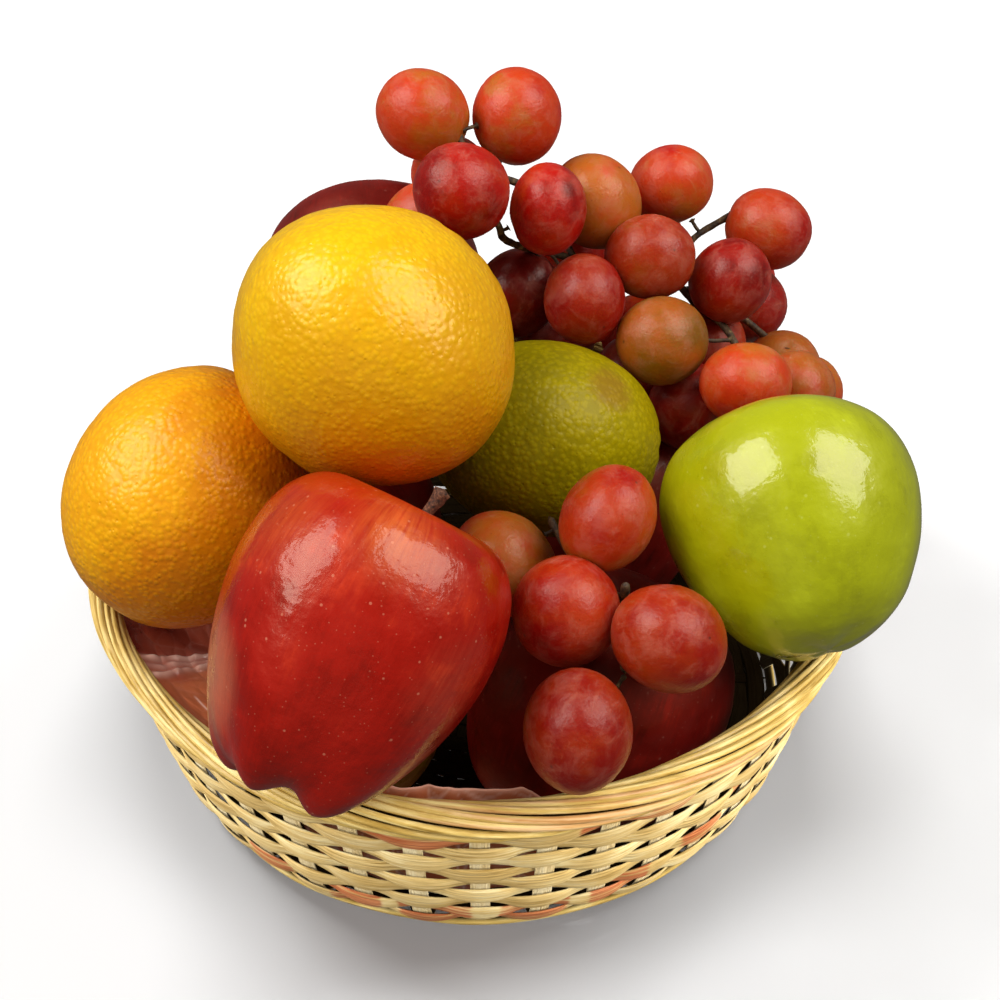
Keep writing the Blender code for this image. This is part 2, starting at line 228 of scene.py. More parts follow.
def addNode(kind, inputs, **settings):
    made = nodeTree.nodes.new("ShaderNode" + kind)
    for key, value in settings.items():
        setattr(made, key, value)
    for key, value in inputs.items():
        if isinstance(value, bpy.types.NodeSocket):
            nodeTree.links.new(value, made.inputs[key])
        else:
            made.inputs[key].default_value = colour(value) if isinstance(value, str) else value
    return made


def field(name):
    return addNode("Attribute", {}, attribute_name=name).outputs["Vector"]


def factor(name):
    return addNode("Attribute", {}, attribute_name=name).outputs["Fac"]


def stretched(vector, scale):
    return addNode("Mapping", {"Vector": vector, "Scale": scale}).outputs[0]


def grain(vector, scale, detail=3, rough=0.5, twist=0):
    return addNode("TexNoise", {"Vector": vector, "Scale": scale, "Detail": detail,
                                "Roughness": rough, "Distortion": twist}).outputs[0]


def cells(vector, scale):
    return addNode("TexVoronoi", {"Vector": vector, "Scale": scale}).outputs[0]


def spread(value, low, high, toLow=0, toHigh=1):
    return addNode("MapRange", {"Value": value, "From Min": low, "From Max": high, "To Min": toLow,
                                "To Max": toHigh}, interpolation_type="SMOOTHSTEP").outputs[0]


def plus(first, second):
    return addNode("Math", {0: first, 1: second}, operation="ADD").outputs[0]


def times(first, second):
    return addNode("Math", {0: first, 1: second}, operation="MULTIPLY").outputs[0]


def minus(first, second):
    return addNode("Math", {0: first, 1: second}, operation="SUBTRACT").outputs[0]


def ramp(value, *stops):
    made = addNode("ValToRGB", {"Fac": value})
    made.color_ramp.interpolation = "EASE"
    points = made.color_ramp.elements
    while len(points) < len(stops):
        points.new(0.5)
    for point, (place, code) in zip(points, stops):
        point.position = place
        point.color = colour(code)
    return made.outputs[0]


def mixed(amount, under, over):
    return addNode("Mix", {0: amount, 6: under, 7: over}, data_type="RGBA").outputs[2]


def bumped(height, depth, strength=1, under=None):
    inputs = {"Height": height, "Distance": depth * mm, "Strength": strength}
    if under is not None:
        inputs["Normal"] = under
    return addNode("Bump", inputs).outputs[0]


# Camera, lights and floor

viewLook = {"place": (7, -369.8, 382), "down": 39.6, "lens": 58.79}
bpy.ops.object.camera_add(location=Vector(viewLook["place"]) * mm,
                          rotation=(math.radians(90 - viewLook["down"]), 0, 0))
viewCamera = named("frontCamera")
viewCamera.data.lens = viewLook["lens"]
viewCamera.data.sensor_width = 36
viewCamera.data.clip_start = 0.01
viewCamera.data.clip_end = 50
bpy.context.scene.camera = viewCamera

# The side each lamp shines from, its width, its power and what it lights
lampLooks = {
    "leftSoftbox": ((-0.64, -0.06, 0.765), 2300, 98, "basket fruit weave"),
    "rightSoftbox": ((0.6, -0.08, 0.795), 2300, 84, "basket fruit weave"),
    "fruitFill": ((-0.25, -0.93, 0.25), 2400, 18, "fruit"),
    "filmFill": ((0.3, -0.5, 0.8), 1500, 22, "film"),
    "basketFillLeft": ((-0.92, -0.38, 0.22), 2400, 130, "basket"),
    "basketFillRight": ((0.95, -0.3, 0.22), 2400, 212, "basket"),
    "paperTop": ((0, 0.05, 1), 1400, 44, "floor"),
    "paperFront": ((0, -0.75, 0.66), 1500, 24, "floor"),
    "paperRight": ((0.7, 0.3, 0.65), 1500, 34, "floor"),
    "paperLeft": ((-0.6, 0.32, 0.73), 800, 40, "floor"),
}
lampAway, lampAim = 3000, Vector((0, 0, 90))
for lampName, (side, wide, power, kinds) in lampLooks.items():
    side = Vector(side).normalized()
    bpy.ops.object.light_add(type="AREA", location=side * lampAway * mm + lampAim * mm,
                             rotation=side.to_track_quat("Z", "Y").to_euler())
    lamp = named(lampName)
    lamp.data.shape = "SQUARE"
    lamp.data.size = wide * mm
    lamp.data.energy = power
    lamp.data.use_shadow = kinds != "film"
    lamp.visible_glossy = "Softbox" in lampName  # the fills show in no reflection

studioAir = bpy.data.worlds.new("studioAir")
studioAir.use_nodes = True
studioAir.node_tree.nodes["Background"].inputs["Color"].default_value = (1, 0.93, 0.86, 1)
studioAir.node_tree.nodes["Background"].inputs["Strength"].default_value = 0.13
bpy.context.scene.world = studioAir
bpy.context.scene.view_settings.view_transform = "Standard"

floorLook = {"wide": 8000, "thick": 10, "shades": ((0.3, "FAFAFA"), (0.7, "FDFDFD"))}
bpy.ops.mesh.primitive_cube_add(size=1, location=(0, 0, -floorLook["thick"] / 2 * mm))
studioFloor = named("studioFloor")
studioFloor.scale = (floorLook["wide"] * mm, floorLook["wide"] * mm, floorLook["thick"] * mm)
bpy.ops.object.transform_apply()
paperWhite = newMaterial("paperWhite", Roughness=0.8)
paperPlace = addNode("TexCoord", {}).outputs["Object"]
connect(Base_Color=ramp(grain(paperPlace, 3, 2), *floorLook["shades"]))
studioFloor.data.materials.append(paperWhite)
studioFloor.visible_glossy = False  # the fruit mirrors the dim room, not the bright paper
studioFloor.visible_diffuse = False
print("camera, lights and floor are set")


# Straw, reed and dyed straw of the basket

def strawMaterial(name, dark, middle, pale, dyed, roughness, ribs):
    material = newMaterial(name, Roughness=roughness, Coat_Roughness=0.4)
    fibre = field("fibre")
    lengthwise = grain(stretched(fibre, (0.07, 1.5, 1)), 1, 5, 0.62)
    patches = grain(stretched(fibre, (0.07, 0.12, 1)), 1)
    straw = ramp(plus(times(lengthwise, 0.6), times(patches, 0.4)), (0.34, dark), (0.48, middle), (0.6, pale))
    straw = mixed(spread(factor("tone"), 0, 1, 0, 0.45), straw, dark)
    # Dye took to single splits, so it shows as thin strands
    splits = spread(grain(stretched(fibre, (0.02, 0.8, 0.3)), 1, 2), 0.4, 0.55)
    dye = times(factor("dye"), plus(splits, 0.5))
    dyedTones = ramp(lengthwise, (0.35, dyed[0]), (0.65, dyed[1]))
    straw = mixed(spread(dye, 0.1, 0.9, 0, 0.9), straw, dyedTones)
    # The inner face is darkened to near black and loses its shine: painted shade inside the basket
    inner = factor("inner")
    straw = mixed(times(inner, 0.96), straw, "1A0F06")
    ridges = grain(stretched(fibre, (0.04, ribs, 1)), 1, 3, 0.55)
    shine, coat = (0.5, 0.08) if roughness < 0.6 else (0.15, 0)
    connect(Base_Color=straw, Normal=bumped(ridges, 0.5),
            Specular_IOR_Level=spread(inner, 0, 0.8, shine, 0.02), Coat_Weight=spread(inner, 0, 0.8, coat, 0),
            Roughness=spread(lengthwise, 0.3, 0.7, roughness - 0.08, roughness + 0.12))
    return material


dyedColours = ("AC4A22", "D27A48")
wovenStraw = strawMaterial("wovenStraw", "B28C46", "E8C67E", "FAE4A8", dyedColours, 0.45, 1.3)
splitReed = strawMaterial("splitReed", "96742E", "C2A256", "DAC27E", ("B87850", "D09A78"), 0.36, 0.9)
stakeStraw = strawMaterial("stakeStraw", "C49E5A", "EED49A", "FCEABA", dyedColours, 0.5, 2)
shadedStraw = strawMaterial("shadedStraw", "2A1C0A", "3E2C14", "56401E", dyedColours, 0.7, 2)


# The wall: upright stakes and one long flat weaver that runs round nine times

wallLook = {
    "outline": [(90.4, 0.3), (94.5, 2.5), (97.5, 5.5), (99.5, 10), (102, 20), (105, 35), (107.3, 48),
                (108.3, 53.4), (108.6, 60)],
    "stakes": 39, "firstStake": 271, "stakeWide": 5.3, "stakeThick": 0.7, "stakeRib": 0.14,
    "stakeEnds": (1.2, 58), "inset": 1.6,
    "rows": 9, "lowestRow": 6.8, "rowPitch": 5.55, "rowStart": 90, "bow": 0.9, "weaverThick": 0.52,
    "weaverWide": (1.95, 4.3), "weaverStart": 68, "weaverSpare": 34, "stepsPerFloat": 14, "middle": 105,
    "seed": 11,
    # Stretches of dyed straw: row from the top, first and last angle, strength
    "dyed": [(1, 253, 271, 1), (1, 285, 303, 0.85), (8, 231, 239, 0.9), (8, 245, 255, 1),
             (9, 246, 255, 0.9), (8, 258, 269.5, 1), (9, 258, 269.5, 1), (8, 274, 285, 1),
             (9, 274, 285, 1), (7, 289, 298, 0.9), (8, 288.5, 297.5, 0.9), (6, 304, 312, 0.9),
             (4, 313, 319, 0.85), (1, 40, 55, 0.9), (9, 20, 35, 0.9), (9, 120, 140, 0.9),
             (1, 130, 140, 0.8), (9, 180, 195, 0.9)],
}


def wallOuter(z):
    radii, heights = zip(*wallLook["outline"])
    return np.interp(z, heights, radii)


def wallFrame(turn, z, depth):
    # Places and outward directions on the wall, depth millimetres inside its outer face
    lean = wallOuter(z + 0.5) - wallOuter(z - 0.5)
    outward = unitRows(ringed(1, turn, -lean))
    return ringed(wallOuter(z), turn, z) - outward * np.reshape(depth, (-1, 1)), outward


def dyeAt(row, angle):
    strength = np.zeros(len(angle))
    for dyedRow, start, end, share in wallLook["dyed"]:
        inside = rise(angle, start - 0.6, 1.2) * rise(angle, end + 0.6, -1.2)
        strength = np.maximum(strength, inside * share * (row == dyedRow))
    return strength


def addStakes():
    look = wallLook
    foot, top = look["stakeEnds"]
    heights = np.concatenate([[foot], np.linspace(foot + 0.4, top - 0.5, 26), [top]])
    path, outward = wallFrame(0 * heights, heights, look["inset"])
    first = strand("stake", path, outward, look["stakeWide"] / 2, look["stakeThick"] / 2, 28, 0.7)
    # Four fine ribs stand on the face of each stake
    points = readVectors(first) / mm
    across = readVectors(first, "fibre")[:, 1] / (look["stakeWide"] / 2)
    ribs = look["stakeRib"] * np.cos(across * 4 * math.pi) * (np.abs(across) < 0.92)
    points[:, 0] += ribs * np.sign(points[:, 0] - (wallOuter(points[:, 2]) - look["inset"]))
    writePoints(first, points)
    closeUp(first)
    draw = random.Random(look["seed"])
    stakes = []
    for place in range(look["stakes"]):
        angle = look["firstStake"] + place * 360 / look["stakes"] + draw.uniform(-0.25, 0.25)
        twin = first.copy()
        twin.data = first.data.copy()
        twin.data.transform(Matrix.Rotation(math.radians(angle), 4, "Z"))
        bpy.context.collection.objects.link(twin)
        writeFields(twin, tone=draw.random(), dye=0)
        stakes.append(twin)
    bpy.data.objects.remove(first)
    return joined(stakes, "wallStakes")


def addWeaver():
    look = wallLook
    pitch = 360 / look["stakes"]
    steps = look["stepsPerFloat"]
    # The weaver starts under its own first round
    count = look["stakes"] * look["rows"] * steps + look["weaverSpare"]
    angle = look["weaverStart"] + np.arange(count) * pitch / steps
    rounds = (angle - look["rowStart"]) / 360
    row = np.floor(rounds - 1e-9).clip(0)
    climb = eased(rise(rounds - row, 0.94, 0.06))
    z = look["lowestRow"] + look["rowPitch"] * np.minimum(row + climb, look["rows"] - 1)
    crossing = -np.cos((angle - look["firstStake"]) / pitch * math.pi)
    # Rounded wave: the strip lies close over and under each stake
    bend = np.sign(crossing) * np.abs(crossing) ** 0.8
    draw = np.random.default_rng(look["seed"])
    # A float runs from behind one stake to behind the next but one
    floats = np.floor((angle - look["firstStake"]) / pitch / 2).astype(int)
    floats -= floats.min()
    toneOfFloat = draw.random(floats.max() + 1)
    liftOfFloat = draw.normal(0, 0.3, floats.max() + 1)
    wideOfFloat = draw.normal(0, 0.17, floats.max() + 1)
    soften = 0.5 + 0.5 * crossing
    narrow, broad = look["weaverWide"]
    wide = narrow + (broad - narrow) * soften ** 1.5 + wideOfFloat[floats] * soften
    length = np.radians(angle) * look["middle"]
    wide = wide + 0.28 * np.array([noise.noise(Vector((spot / 5, 3, 0))) for spot in length])
    z = z + liftOfFloat[floats] * soften
    z = z + 0.3 * np.array([noise.noise(Vector((spot / 9, 8, 0))) for spot in length])
    path, outward = wallFrame(np.radians(angle), z, look["inset"] - look["bow"] * bend)
    weaver = strand("wallWeaver", path, outward, wide, look["weaverThick"], 12, 0.1)
    fibre = readVectors(weaver, "fibre")
    step = np.searchsorted(lengthAlong(path), fibre[:, 0] - 1e-3).clip(0, len(path) - 1)
    tone = toneOfFloat[floats][step]
    fibre[:, 2] += tone * 20
    writeFields(weaver, tone=tone, fibre=fibre, dye=dyeAt(look["rows"] - row, angle % 360)[step])
    closeUp(weaver)
    return weaver


footLook = {"radius": 94, "height": 2, "start": 82, "end": 456, "steps": 325, "wide": 1.75, "thick": 1.15}


def addFootReed():
    look = footLook
    angle = np.linspace(look["start"], look["end"], look["steps"])
    turn = np.radians(angle)
    # One end lies over the other
    radius = look["radius"] + 0.25 * np.sin(turn * 11) - 1.3 * rise(angle, 98, -8) + 0.3 * rise(angle, 440, 6)
    z = look["height"] + 0.2 * np.sin(turn * 7 + 1)
    reed = strand("footReed", ringed(radius, turn, z), ringed(1, turn, -0.6), look["wide"], look["thick"],
                  12, 0.2)
    closeUp(reed)
    writeFields(reed, dye=0)
    return reed


wallStakes = finished(addStakes(), stakeStraw, "straw", "basket_wall")
wallWeaver = finished(addWeaver(), wovenStraw, "straw", "basket_wall")
footReed = finished(addFootReed(), splitReed, "pale_reed", "basket_wall")
print("wall woven")


# The border: round reeds laid side by side over a core, each from low inside over the top and down outside

rimLook = {"radius": 109.5, "height": 60.8, "core": 3.1, "reeds": 39, "reedPath": 4.95, "reedWide": 1.12,
           "reedThick": 1.2, "slopes": (212, -58), "span": 84, "firstReed": 3, "steps": 56, "seed": 23,
           # Uneven as bent by hand: angle, shift of radius, shift of height, share of the thickness
           "form": [
               (90, 0, 0, 0.86), (150, 0, 0, 0.86), (188, 0.7, 0, 0.78), (200, 0.3, 0, 0.7),
               (212, -1.2, 0, 0.6), (224, -1.8, 0.2, 0.62), (236, -1.3, 0.7, 0.74), (255, -1.1, 1.3, 0.85),
               (270, -1.1, 1.5, 0.87), (300, -1.2, 1.3, 0.84), (325, -1.8, 0.8, 0.76),
               (345, -0.5, 0.2, 0.74), (390, 0, 0, 0.84), (450, 0, 0, 0.86)]}


def rimForm(turn):
    # Radius and height of the middle of the border, and its share of the thickness, at each angle
    angle = np.degrees(turn)
    places, *columns = np.array(rimLook["form"]).T
    around = [(angle + shift - 90) % 360 + 90 for shift in (-6, -3, 0, 3, 6)]
    radius, height, share = (np.mean([np.interp(spots, places, values) for spots in around], axis=0)
                             for values in columns)
    return rimLook["radius"] + radius, rimLook["height"] + height, share


def addRimCore():
    look = rimLook
    bpy.ops.mesh.primitive_torus_add(major_segments=156, minor_segments=20, major_radius=look["radius"] * mm,
                                     minor_radius=look["core"] * mm, location=(0, 0, look["height"] * mm))
    core = named("rimCore")
    bpy.ops.object.transform_apply()
    points = readVectors(core) / mm
    turn = np.arctan2(points[:, 1], points[:, 0])
    slope = np.arctan2(points[:, 2] - look["height"], np.hypot(points[:, 0], points[:, 1]) - look["radius"])
    # Strands of the core run round with a slight twist
    middle, level, share = rimForm(turn)
    grow = (1 + 0.05 * np.cos(6 * slope + 20 * turn)) * share * look["core"]
    writePoints(core, ringed(middle + grow * np.cos(slope) * 0.94, turn, level + grow * np.sin(slope)))
    writeFields(core, fibre=np.column_stack([turn * 110, slope * 4, 0 * turn]), tone=1, dye=0, inner=0)
    return core


def addRimReeds():
    look = rimLook
    share = np.linspace(0, 1, look["steps"])
    start, end = look["slopes"]
    draw = random.Random(look["seed"])
    reeds = []
    for number in range(look["reeds"]):
        span = look["span"] + draw.uniform(-2.5, 2.5)
        ending = end + draw.uniform(-10, 10)
        slope = np.radians(start + (ending - start) * share)
        first = look["firstReed"] + number * 360 / look["reeds"] + draw.uniform(-1.3, 1.3)
        turn = np.radians(first + span * share)
        middle, level, thickness = rimForm(turn)
        out = look["reedPath"] * thickness + draw.uniform(-0.28, 0.2)
        # Both ends tuck in under the neighbouring strands
        out = out - 1.3 * rise(share, 0.9, 0.1) ** 2 - rise(share, 0.08, -0.08)
        path = ringed(middle + out * np.cos(slope) * 0.96, turn, level + out * np.sin(slope))
        outward = ringed(np.cos(slope), turn, np.sin(slope))
        taper = rise(share, 1, -0.1) ** 0.6 * np.clip(share / 0.04 + 0.3, 0, 1) * (0.35 + 0.65 * thickness)
        wide = (look["reedWide"] + draw.uniform(-0.16, 0.1)) * taper
        reed = strand("reed", path, outward, wide, look["reedThick"] * taper, 12, 0, number * 7,
                      draw.random())
        # A few reeds in front took some dye
        writeFields(reed, dye=0.35 if 296 < np.degrees(turn[-1]) % 360 < 330 else 0, inner=0)
        reeds.append(reed)
    whole = joined(reeds, "rimReeds")
    closeUp(whole)
    return whole


rimCore = finished(addRimCore(), shadedStraw, "pale_reed", "basket_rim")
rimReeds = finished(addRimReeds(), splitReed, "pale_reed", "basket_rim")
print("border laid")


# The woven floor of the basket: spokes, a spiral weaver and a plain weave that closes the middle

floorWeaveLook = {"spokes": 25, "spokeWide": 4.2, "inner": 15, "outer": 93, "level": 1.55, "pitch": 5.3,
                  "bow": 0.62, "strips": 5, "stripPitch": 6.2, "stripReach": 17}


def addBaseWeave():
    look = floorWeaveLook
    pieces = []
    radii = np.linspace(look["inner"] - 3, look["outer"], 24)
    pitch = 2 * math.pi / look["spokes"]
    for number in range(look["spokes"]):
        wide = np.clip(radii * math.pi / look["spokes"] * 0.75, 0.6, look["spokeWide"] / 2)
        path = ringed(radii, pitch * number, look["level"])
        pieces.append(strand("spoke", path, (0, 0, 1), wide, 0.42, 10, 0.6, 0, (number * 0.37) % 1))
    rounds = (look["outer"] - 1.6 - look["inner"]) / look["pitch"]
    turn = np.arange(0, rounds * 2 * math.pi, pitch / 8)
    radius = look["inner"] + look["pitch"] * turn / (2 * math.pi)
    path = ringed(radius, turn, look["level"] + look["bow"] * np.cos(turn / pitch * math.pi))
    pieces.append(strand("spiral", path, (0, 0, 1), look["pitch"] * 0.52, 0.36, 8, 0.3))
    run = np.linspace(-look["stripReach"], look["stripReach"], 42)
    for way in (0, 1):
        for number in range(look["strips"]):
            offset = (number - 2) * look["stripPitch"]
            lift = 0.5 * np.cos((run / look["stripPitch"] + number + way) * math.pi)
            spots = np.column_stack([run, np.full(42, offset), look["level"] + lift])
            if way:
                spots = spots[:, [1, 0, 2]]
            pieces.append(strand("cross", spots, (0, 0, 1), 2.7, 0.36, 8, 0.5, 0, (number * 0.31) % 1))
    whole = joined(pieces, "baseWeave")
    closeUp(whole)
    level = readVectors(whole)[:, 2] / mm - look["level"]
    # Nearly every face of the floor weave counts as inner, so it is painted near black: painted shade inside
    # the basket
    writeFields(whole, dye=0, inner=np.clip(2 + level, 0, 1))
    return whole


# A darker straw for the woven floor: painted shade inside the basket
floorStraw = strawMaterial("floorStraw", "8A6E3C", "A88C54", "C4A86C", dyedColours, 0.8, 1.3)
baseWeave = finished(addBaseWeave(), floorStraw, "straw", "basket_base")
print("floor woven")


# Crumpled clear film standing inside the wall

filmLook = {"start": 166, "end": 281, "foot": 4.4, "reach": 58, "inset": 5, "nearest": 3.9, "thick": 0.12,
            "columns": 330, "levels": 84, "facets": 21,
            # Ridges of a bunched band at the left: angle, drift inwards, strength
            "ridges": [(207.5, 2, 1), (212, 4.7, 0.85), (209.7, 3.2, 0.5)]}


def facetEdge(spots, size, shift):
    # How far each spot is from the crease between its facet and the next
    near = np.array([noise.voronoi(Vector(spot) / size + Vector(shift))[0][:2] for spot in spots])
    return near[:, 1] - near[:, 0]


def addFilm():
    look = filmLook
    bpy.ops.mesh.primitive_grid_add(x_subdivisions=look["columns"], y_subdivisions=look["levels"], size=2)
    sheet = named("filmLiner")
    along, upwards = ((readVectors(sheet)[:, :2] + 1) / 2).T
    turn = look["start"] + (look["end"] - look["start"]) * along
    down = 1 - upwards
    # The lower third lies on the woven floor, the rest stands by the wall
    lying = rise(upwards, 0.36, -0.36)
    share = rise(upwards, 0.28, 0.72)
    front = rise(turn, 248, 6)
    top = 60.8 - 3 * bell(turn, 244, 6) + 7 * rise(turn, 250, 7) * rise(turn, 281, -4)
    z = look["foot"] + (top - look["foot"]) * share
    # Flat facets that meet in straight creases
    spots = np.column_stack([along * look["facets"] * 1.1, upwards * 5, 0 * share])
    spots = spots + 0.35 * np.column_stack([wobble(spots, 1.5, 2), wobble(spots, 1.5, 3), 0 * share])
    crease = facetEdge(spots, 1.9, (0, 0, 0))
    smallCrease = facetEdge(spots, 0.8, (4, 9, 2))
    fold = 2.6 * crease + 0.7 * smallCrease + 1 * wobble(spots, 2.6, 5) - 2
    z = z + share * (0.5 + front) * (wobble(spots, 0.9, 3) + wobble(spots, 2.5, 4)) * 0.8 - front * 0.6
    z = z + front * share * (0.9 * wobble(spots, 0.45, 12) + 0.5)
    wall = wallOuter(z) - look["nearest"]
    radius = np.minimum(wallOuter(z) - look["inset"] - 3.2 * (1 - share) ** 1.5 + fold * 0.9, wall)
    radius = radius + (wall - radius) * share ** 4 * (1 - front)
    radius = radius - (radius - look["reach"]) * lying
    z = z + lying * (0.5 + 0.5 * wobble(spots + 7, 1.3, 6))
    # The bunched band draws together inwards
    ridges = 0 * turn
    for begin, inwards, strength in look["ridges"]:
        away = (turn - begin + inwards * down + 0.3 * wobble(spots, 1.2, begin + 3)) / (0.4 + 0.3 * upwards)
        ridges = np.maximum(ridges, strength * np.exp(-away ** 2) * (0.72 + 0.7 * wobble(spots, 0.6, begin)))
    band = bell(turn + 3.3 * down, 209.6, 2.4)
    # At the left the film slopes over the low fruit instead, its edge tucked under the border
    over = eased(rise(turn, 168, 14) * rise(turn, 244, -14))
    loose = rise(down, 0, 0.2)
    middle, _, thickness = rimForm(np.radians(turn))
    tucked = middle - 4.75 * thickness - 0.2
    radius += (tucked - 25.5 * down ** 1.1 + 0.5 * fold * loose - radius) * over
    z += (top - 14 * down ** 0.85 + (fold + 2 * ridges) * loose - z) * over
    # Painted highlights: pale colour along the creases, the ridges, the upper edge and one sharp glint line
    crest = np.max([bell(crease, 0, 0.03) * (0.05 + 0.5 * front),
                    bell(smallCrease, 0, 0.04) * (0.03 + 0.35 * front),
                    0.85 * ridges + 0.16 * band,
                    bell(upwards, 1, 0.02) * (0.04 + 0.4 * front),
                    0.9 * bell(upwards, 0.66, 0.012) * rise(turn, 216.5, 1) * rise(turn, 223, -1)], axis=0)
    # The red tint by place: darker at the left end as painted shade, a little darker at the front strip
    high = 0.58 + 0.36 * rise(turn, 207, 7) - 0.12 * front + 0.14 * wobble(spots, 1.8, 9)
    writeFields(sheet, crest=np.clip(crest, 0, 1), high=high)
    writePoints(sheet, ringed(radius, np.radians(turn), z))
    sheet.modifiers.new("filmThickness", "SOLIDIFY").thickness = look["thick"] * mm
    picked(sheet)
    bpy.ops.object.modifier_apply(modifier="filmThickness")
    return sheet


clearFilm = newMaterial("clearFilm", Roughness=0.24, IOR=1.45, Coat_Weight=0.35, Coat_Roughness=0.1,
                        Specular_Tint=(1, 0.8, 0.7, 1))
creases = grain(addNode("TexCoord", {}).outputs["Object"], 60)
# The red of the film stands in for the red fruit seen through it and reflected in it
redness = plus(factor("high"), times(creases, 0.3))
tint = ramp(redness, (0.62, "5E140C"), (0.84, "9E4630"), (1, "C06A44"))
# The pale colour of the painted highlights goes over the red tint
connect(Base_Color=mixed(factor("crest"), tint, "F2C8B4"), Normal=bumped(creases, 0.7, 0.5),
        Alpha=spread(creases, 0.3, 0.7, 0.9, 0.98))
filmLiner = finished(addFilm(), clearFilm, "clear_film", "film_liner")
print("film laid")


# Citrus fruit. Peel: name, pale, middle and deep colour, roughness, depth of the pores, shine

citrusLooks = {
    "orangeLeft": {"node": "orange_left", "place": (-79, -21, 94.5), "wide": 33.3, "high": 37.4,
        "top": (0.52, 0.54, 0.66), "square": 0, "warmSide": (0.75, 0, -0.65), "seed": 1,
        "peel": ("orangePeel", "F4AC06", "DA8002", "D67002", 0.4, 0.26, 0.45),
        "slot": "orange_skin"},
    "orangeTop": {"node": "orange_top", "place": (-25.7, -19, 143.2), "wide": 38.2, "high": 35.5,
        "top": (0.65, 0.59, 0.48), "square": -0.086, "warmSide": (0.3, -0.5, -0.8), "seed": 2,
        "peel": ("yellowPeel", "F0BA06", "E6A604", "D88E02", 0.34, 0.2, 0.5),
        "slot": "yellow_orange_skin"},
    "greenLime": {"node": "lime", "place": (20, 6, 94.2), "wide": 28.3, "high": 34,
        "top": (0.98, 0.07, -0.19), "square": 0, "warmSide": (-0.8, 0.2, -0.1), "seed": 3,
        "peel": ("limePeel", "A49202", "847602", "544C02", 0.4, 0.22, 0.18),
        "slot": "lime_skin", "russet": (0.62, -0.2, 0.76)},
    "lowCitrus": {"node": "fruit_low_left", "place": (-40, -46, 36), "wide": 31, "high": 30,
        "top": (-0.3, -0.2, 0.93), "square": 0, "warmSide": (0, 0, 1), "seed": 4,
        "peel": ("olivePeel", "8A6C10", "74580C", "5A4408", 0.45, 0.14, 0.25),
        "slot": "olive_skin"},
}
poreSize = 0.6
stemDimple = 0.035


def fruitTurn(top):
    up = Vector(top).normalized()
    guide = Vector((0, 0, 1)) if abs(up.z) < 0.95 else Vector((0, 1, 0))
    ahead = (guide - up * guide.dot(up)).normalized()
    return np.array(Matrix((ahead.cross(up), ahead, up)).transposed())


def standUp(piece, local, top, place):
    # Local millimetres to the fruit's own place; the materials read the local place as "peel"
    turned = local @ fruitTurn(top).T
    writeFields(piece, peel=local)
    writePoints(piece, turned + np.asarray(place))
    return unitRows(turned)


def addCitrus(name, look):
    bpy.ops.mesh.primitive_ico_sphere_add(subdivisions=7, radius=1)
    fruit = named(name)
    unit = unitRows(readVectors(fruit))
    slope = np.arccos(np.clip(unit[:, 2], -1, 1))
    local = unit * [look["wide"], look["wide"], look["high"]]
    local[:, 2] *= 1 - stemDimple * bell(slope, 0, 0.28) - 0.02 * bell(slope, math.pi, 0.25)
    local *= (1 + look["square"] * (0.6 - np.sum(unit ** 4, axis=1)))[:, None]
    # Low lumps and fine unevenness of the peel; short furrows run into the stem hollow
    furrow = bell(slope, 0.3, 0.16) * np.cos(np.arctan2(unit[:, 1], unit[:, 0]) * 9)
    seed = look["seed"]
    rough = 0.32 * wobble(local, 14, seed) + 0.1 * wobble(local, 3.2, seed + 3) + 0.18 * furrow
    local += unit * rough[:, None]
    facing = standUp(fruit, local, look["top"], look["place"])
    russet = np.exp((facing @ aimed(look["russet"]) - 1) / 0.05) if "russet" in look else 0
    # Painted shade: the peel turns to its deep colour towards the shaded side
    writeFields(fruit, warm=facing @ aimed(look["warmSide"]), russet=russet)
    return fruit


def addButton(name, look):
    # The dried star at the stem end: five short points round a round scar
    button, unit, turn = ball(name, segments=40, rings=12)
    flat = np.hypot(unit[:, 0], unit[:, 1])
    reach = 2.3 + 1.1 * (0.5 + 0.5 * np.cos(5 * turn)) ** 2
    height = 0.55 * unit[:, 2] - 0.5 * flat ** 2 + 0.5 * bell(flat, 0, 0.35)
    level = look["high"] * (1 - stemDimple) + 0.25
    standUp(button, ringed(flat * reach, turn, level + height), look["top"], look["place"])
    return button


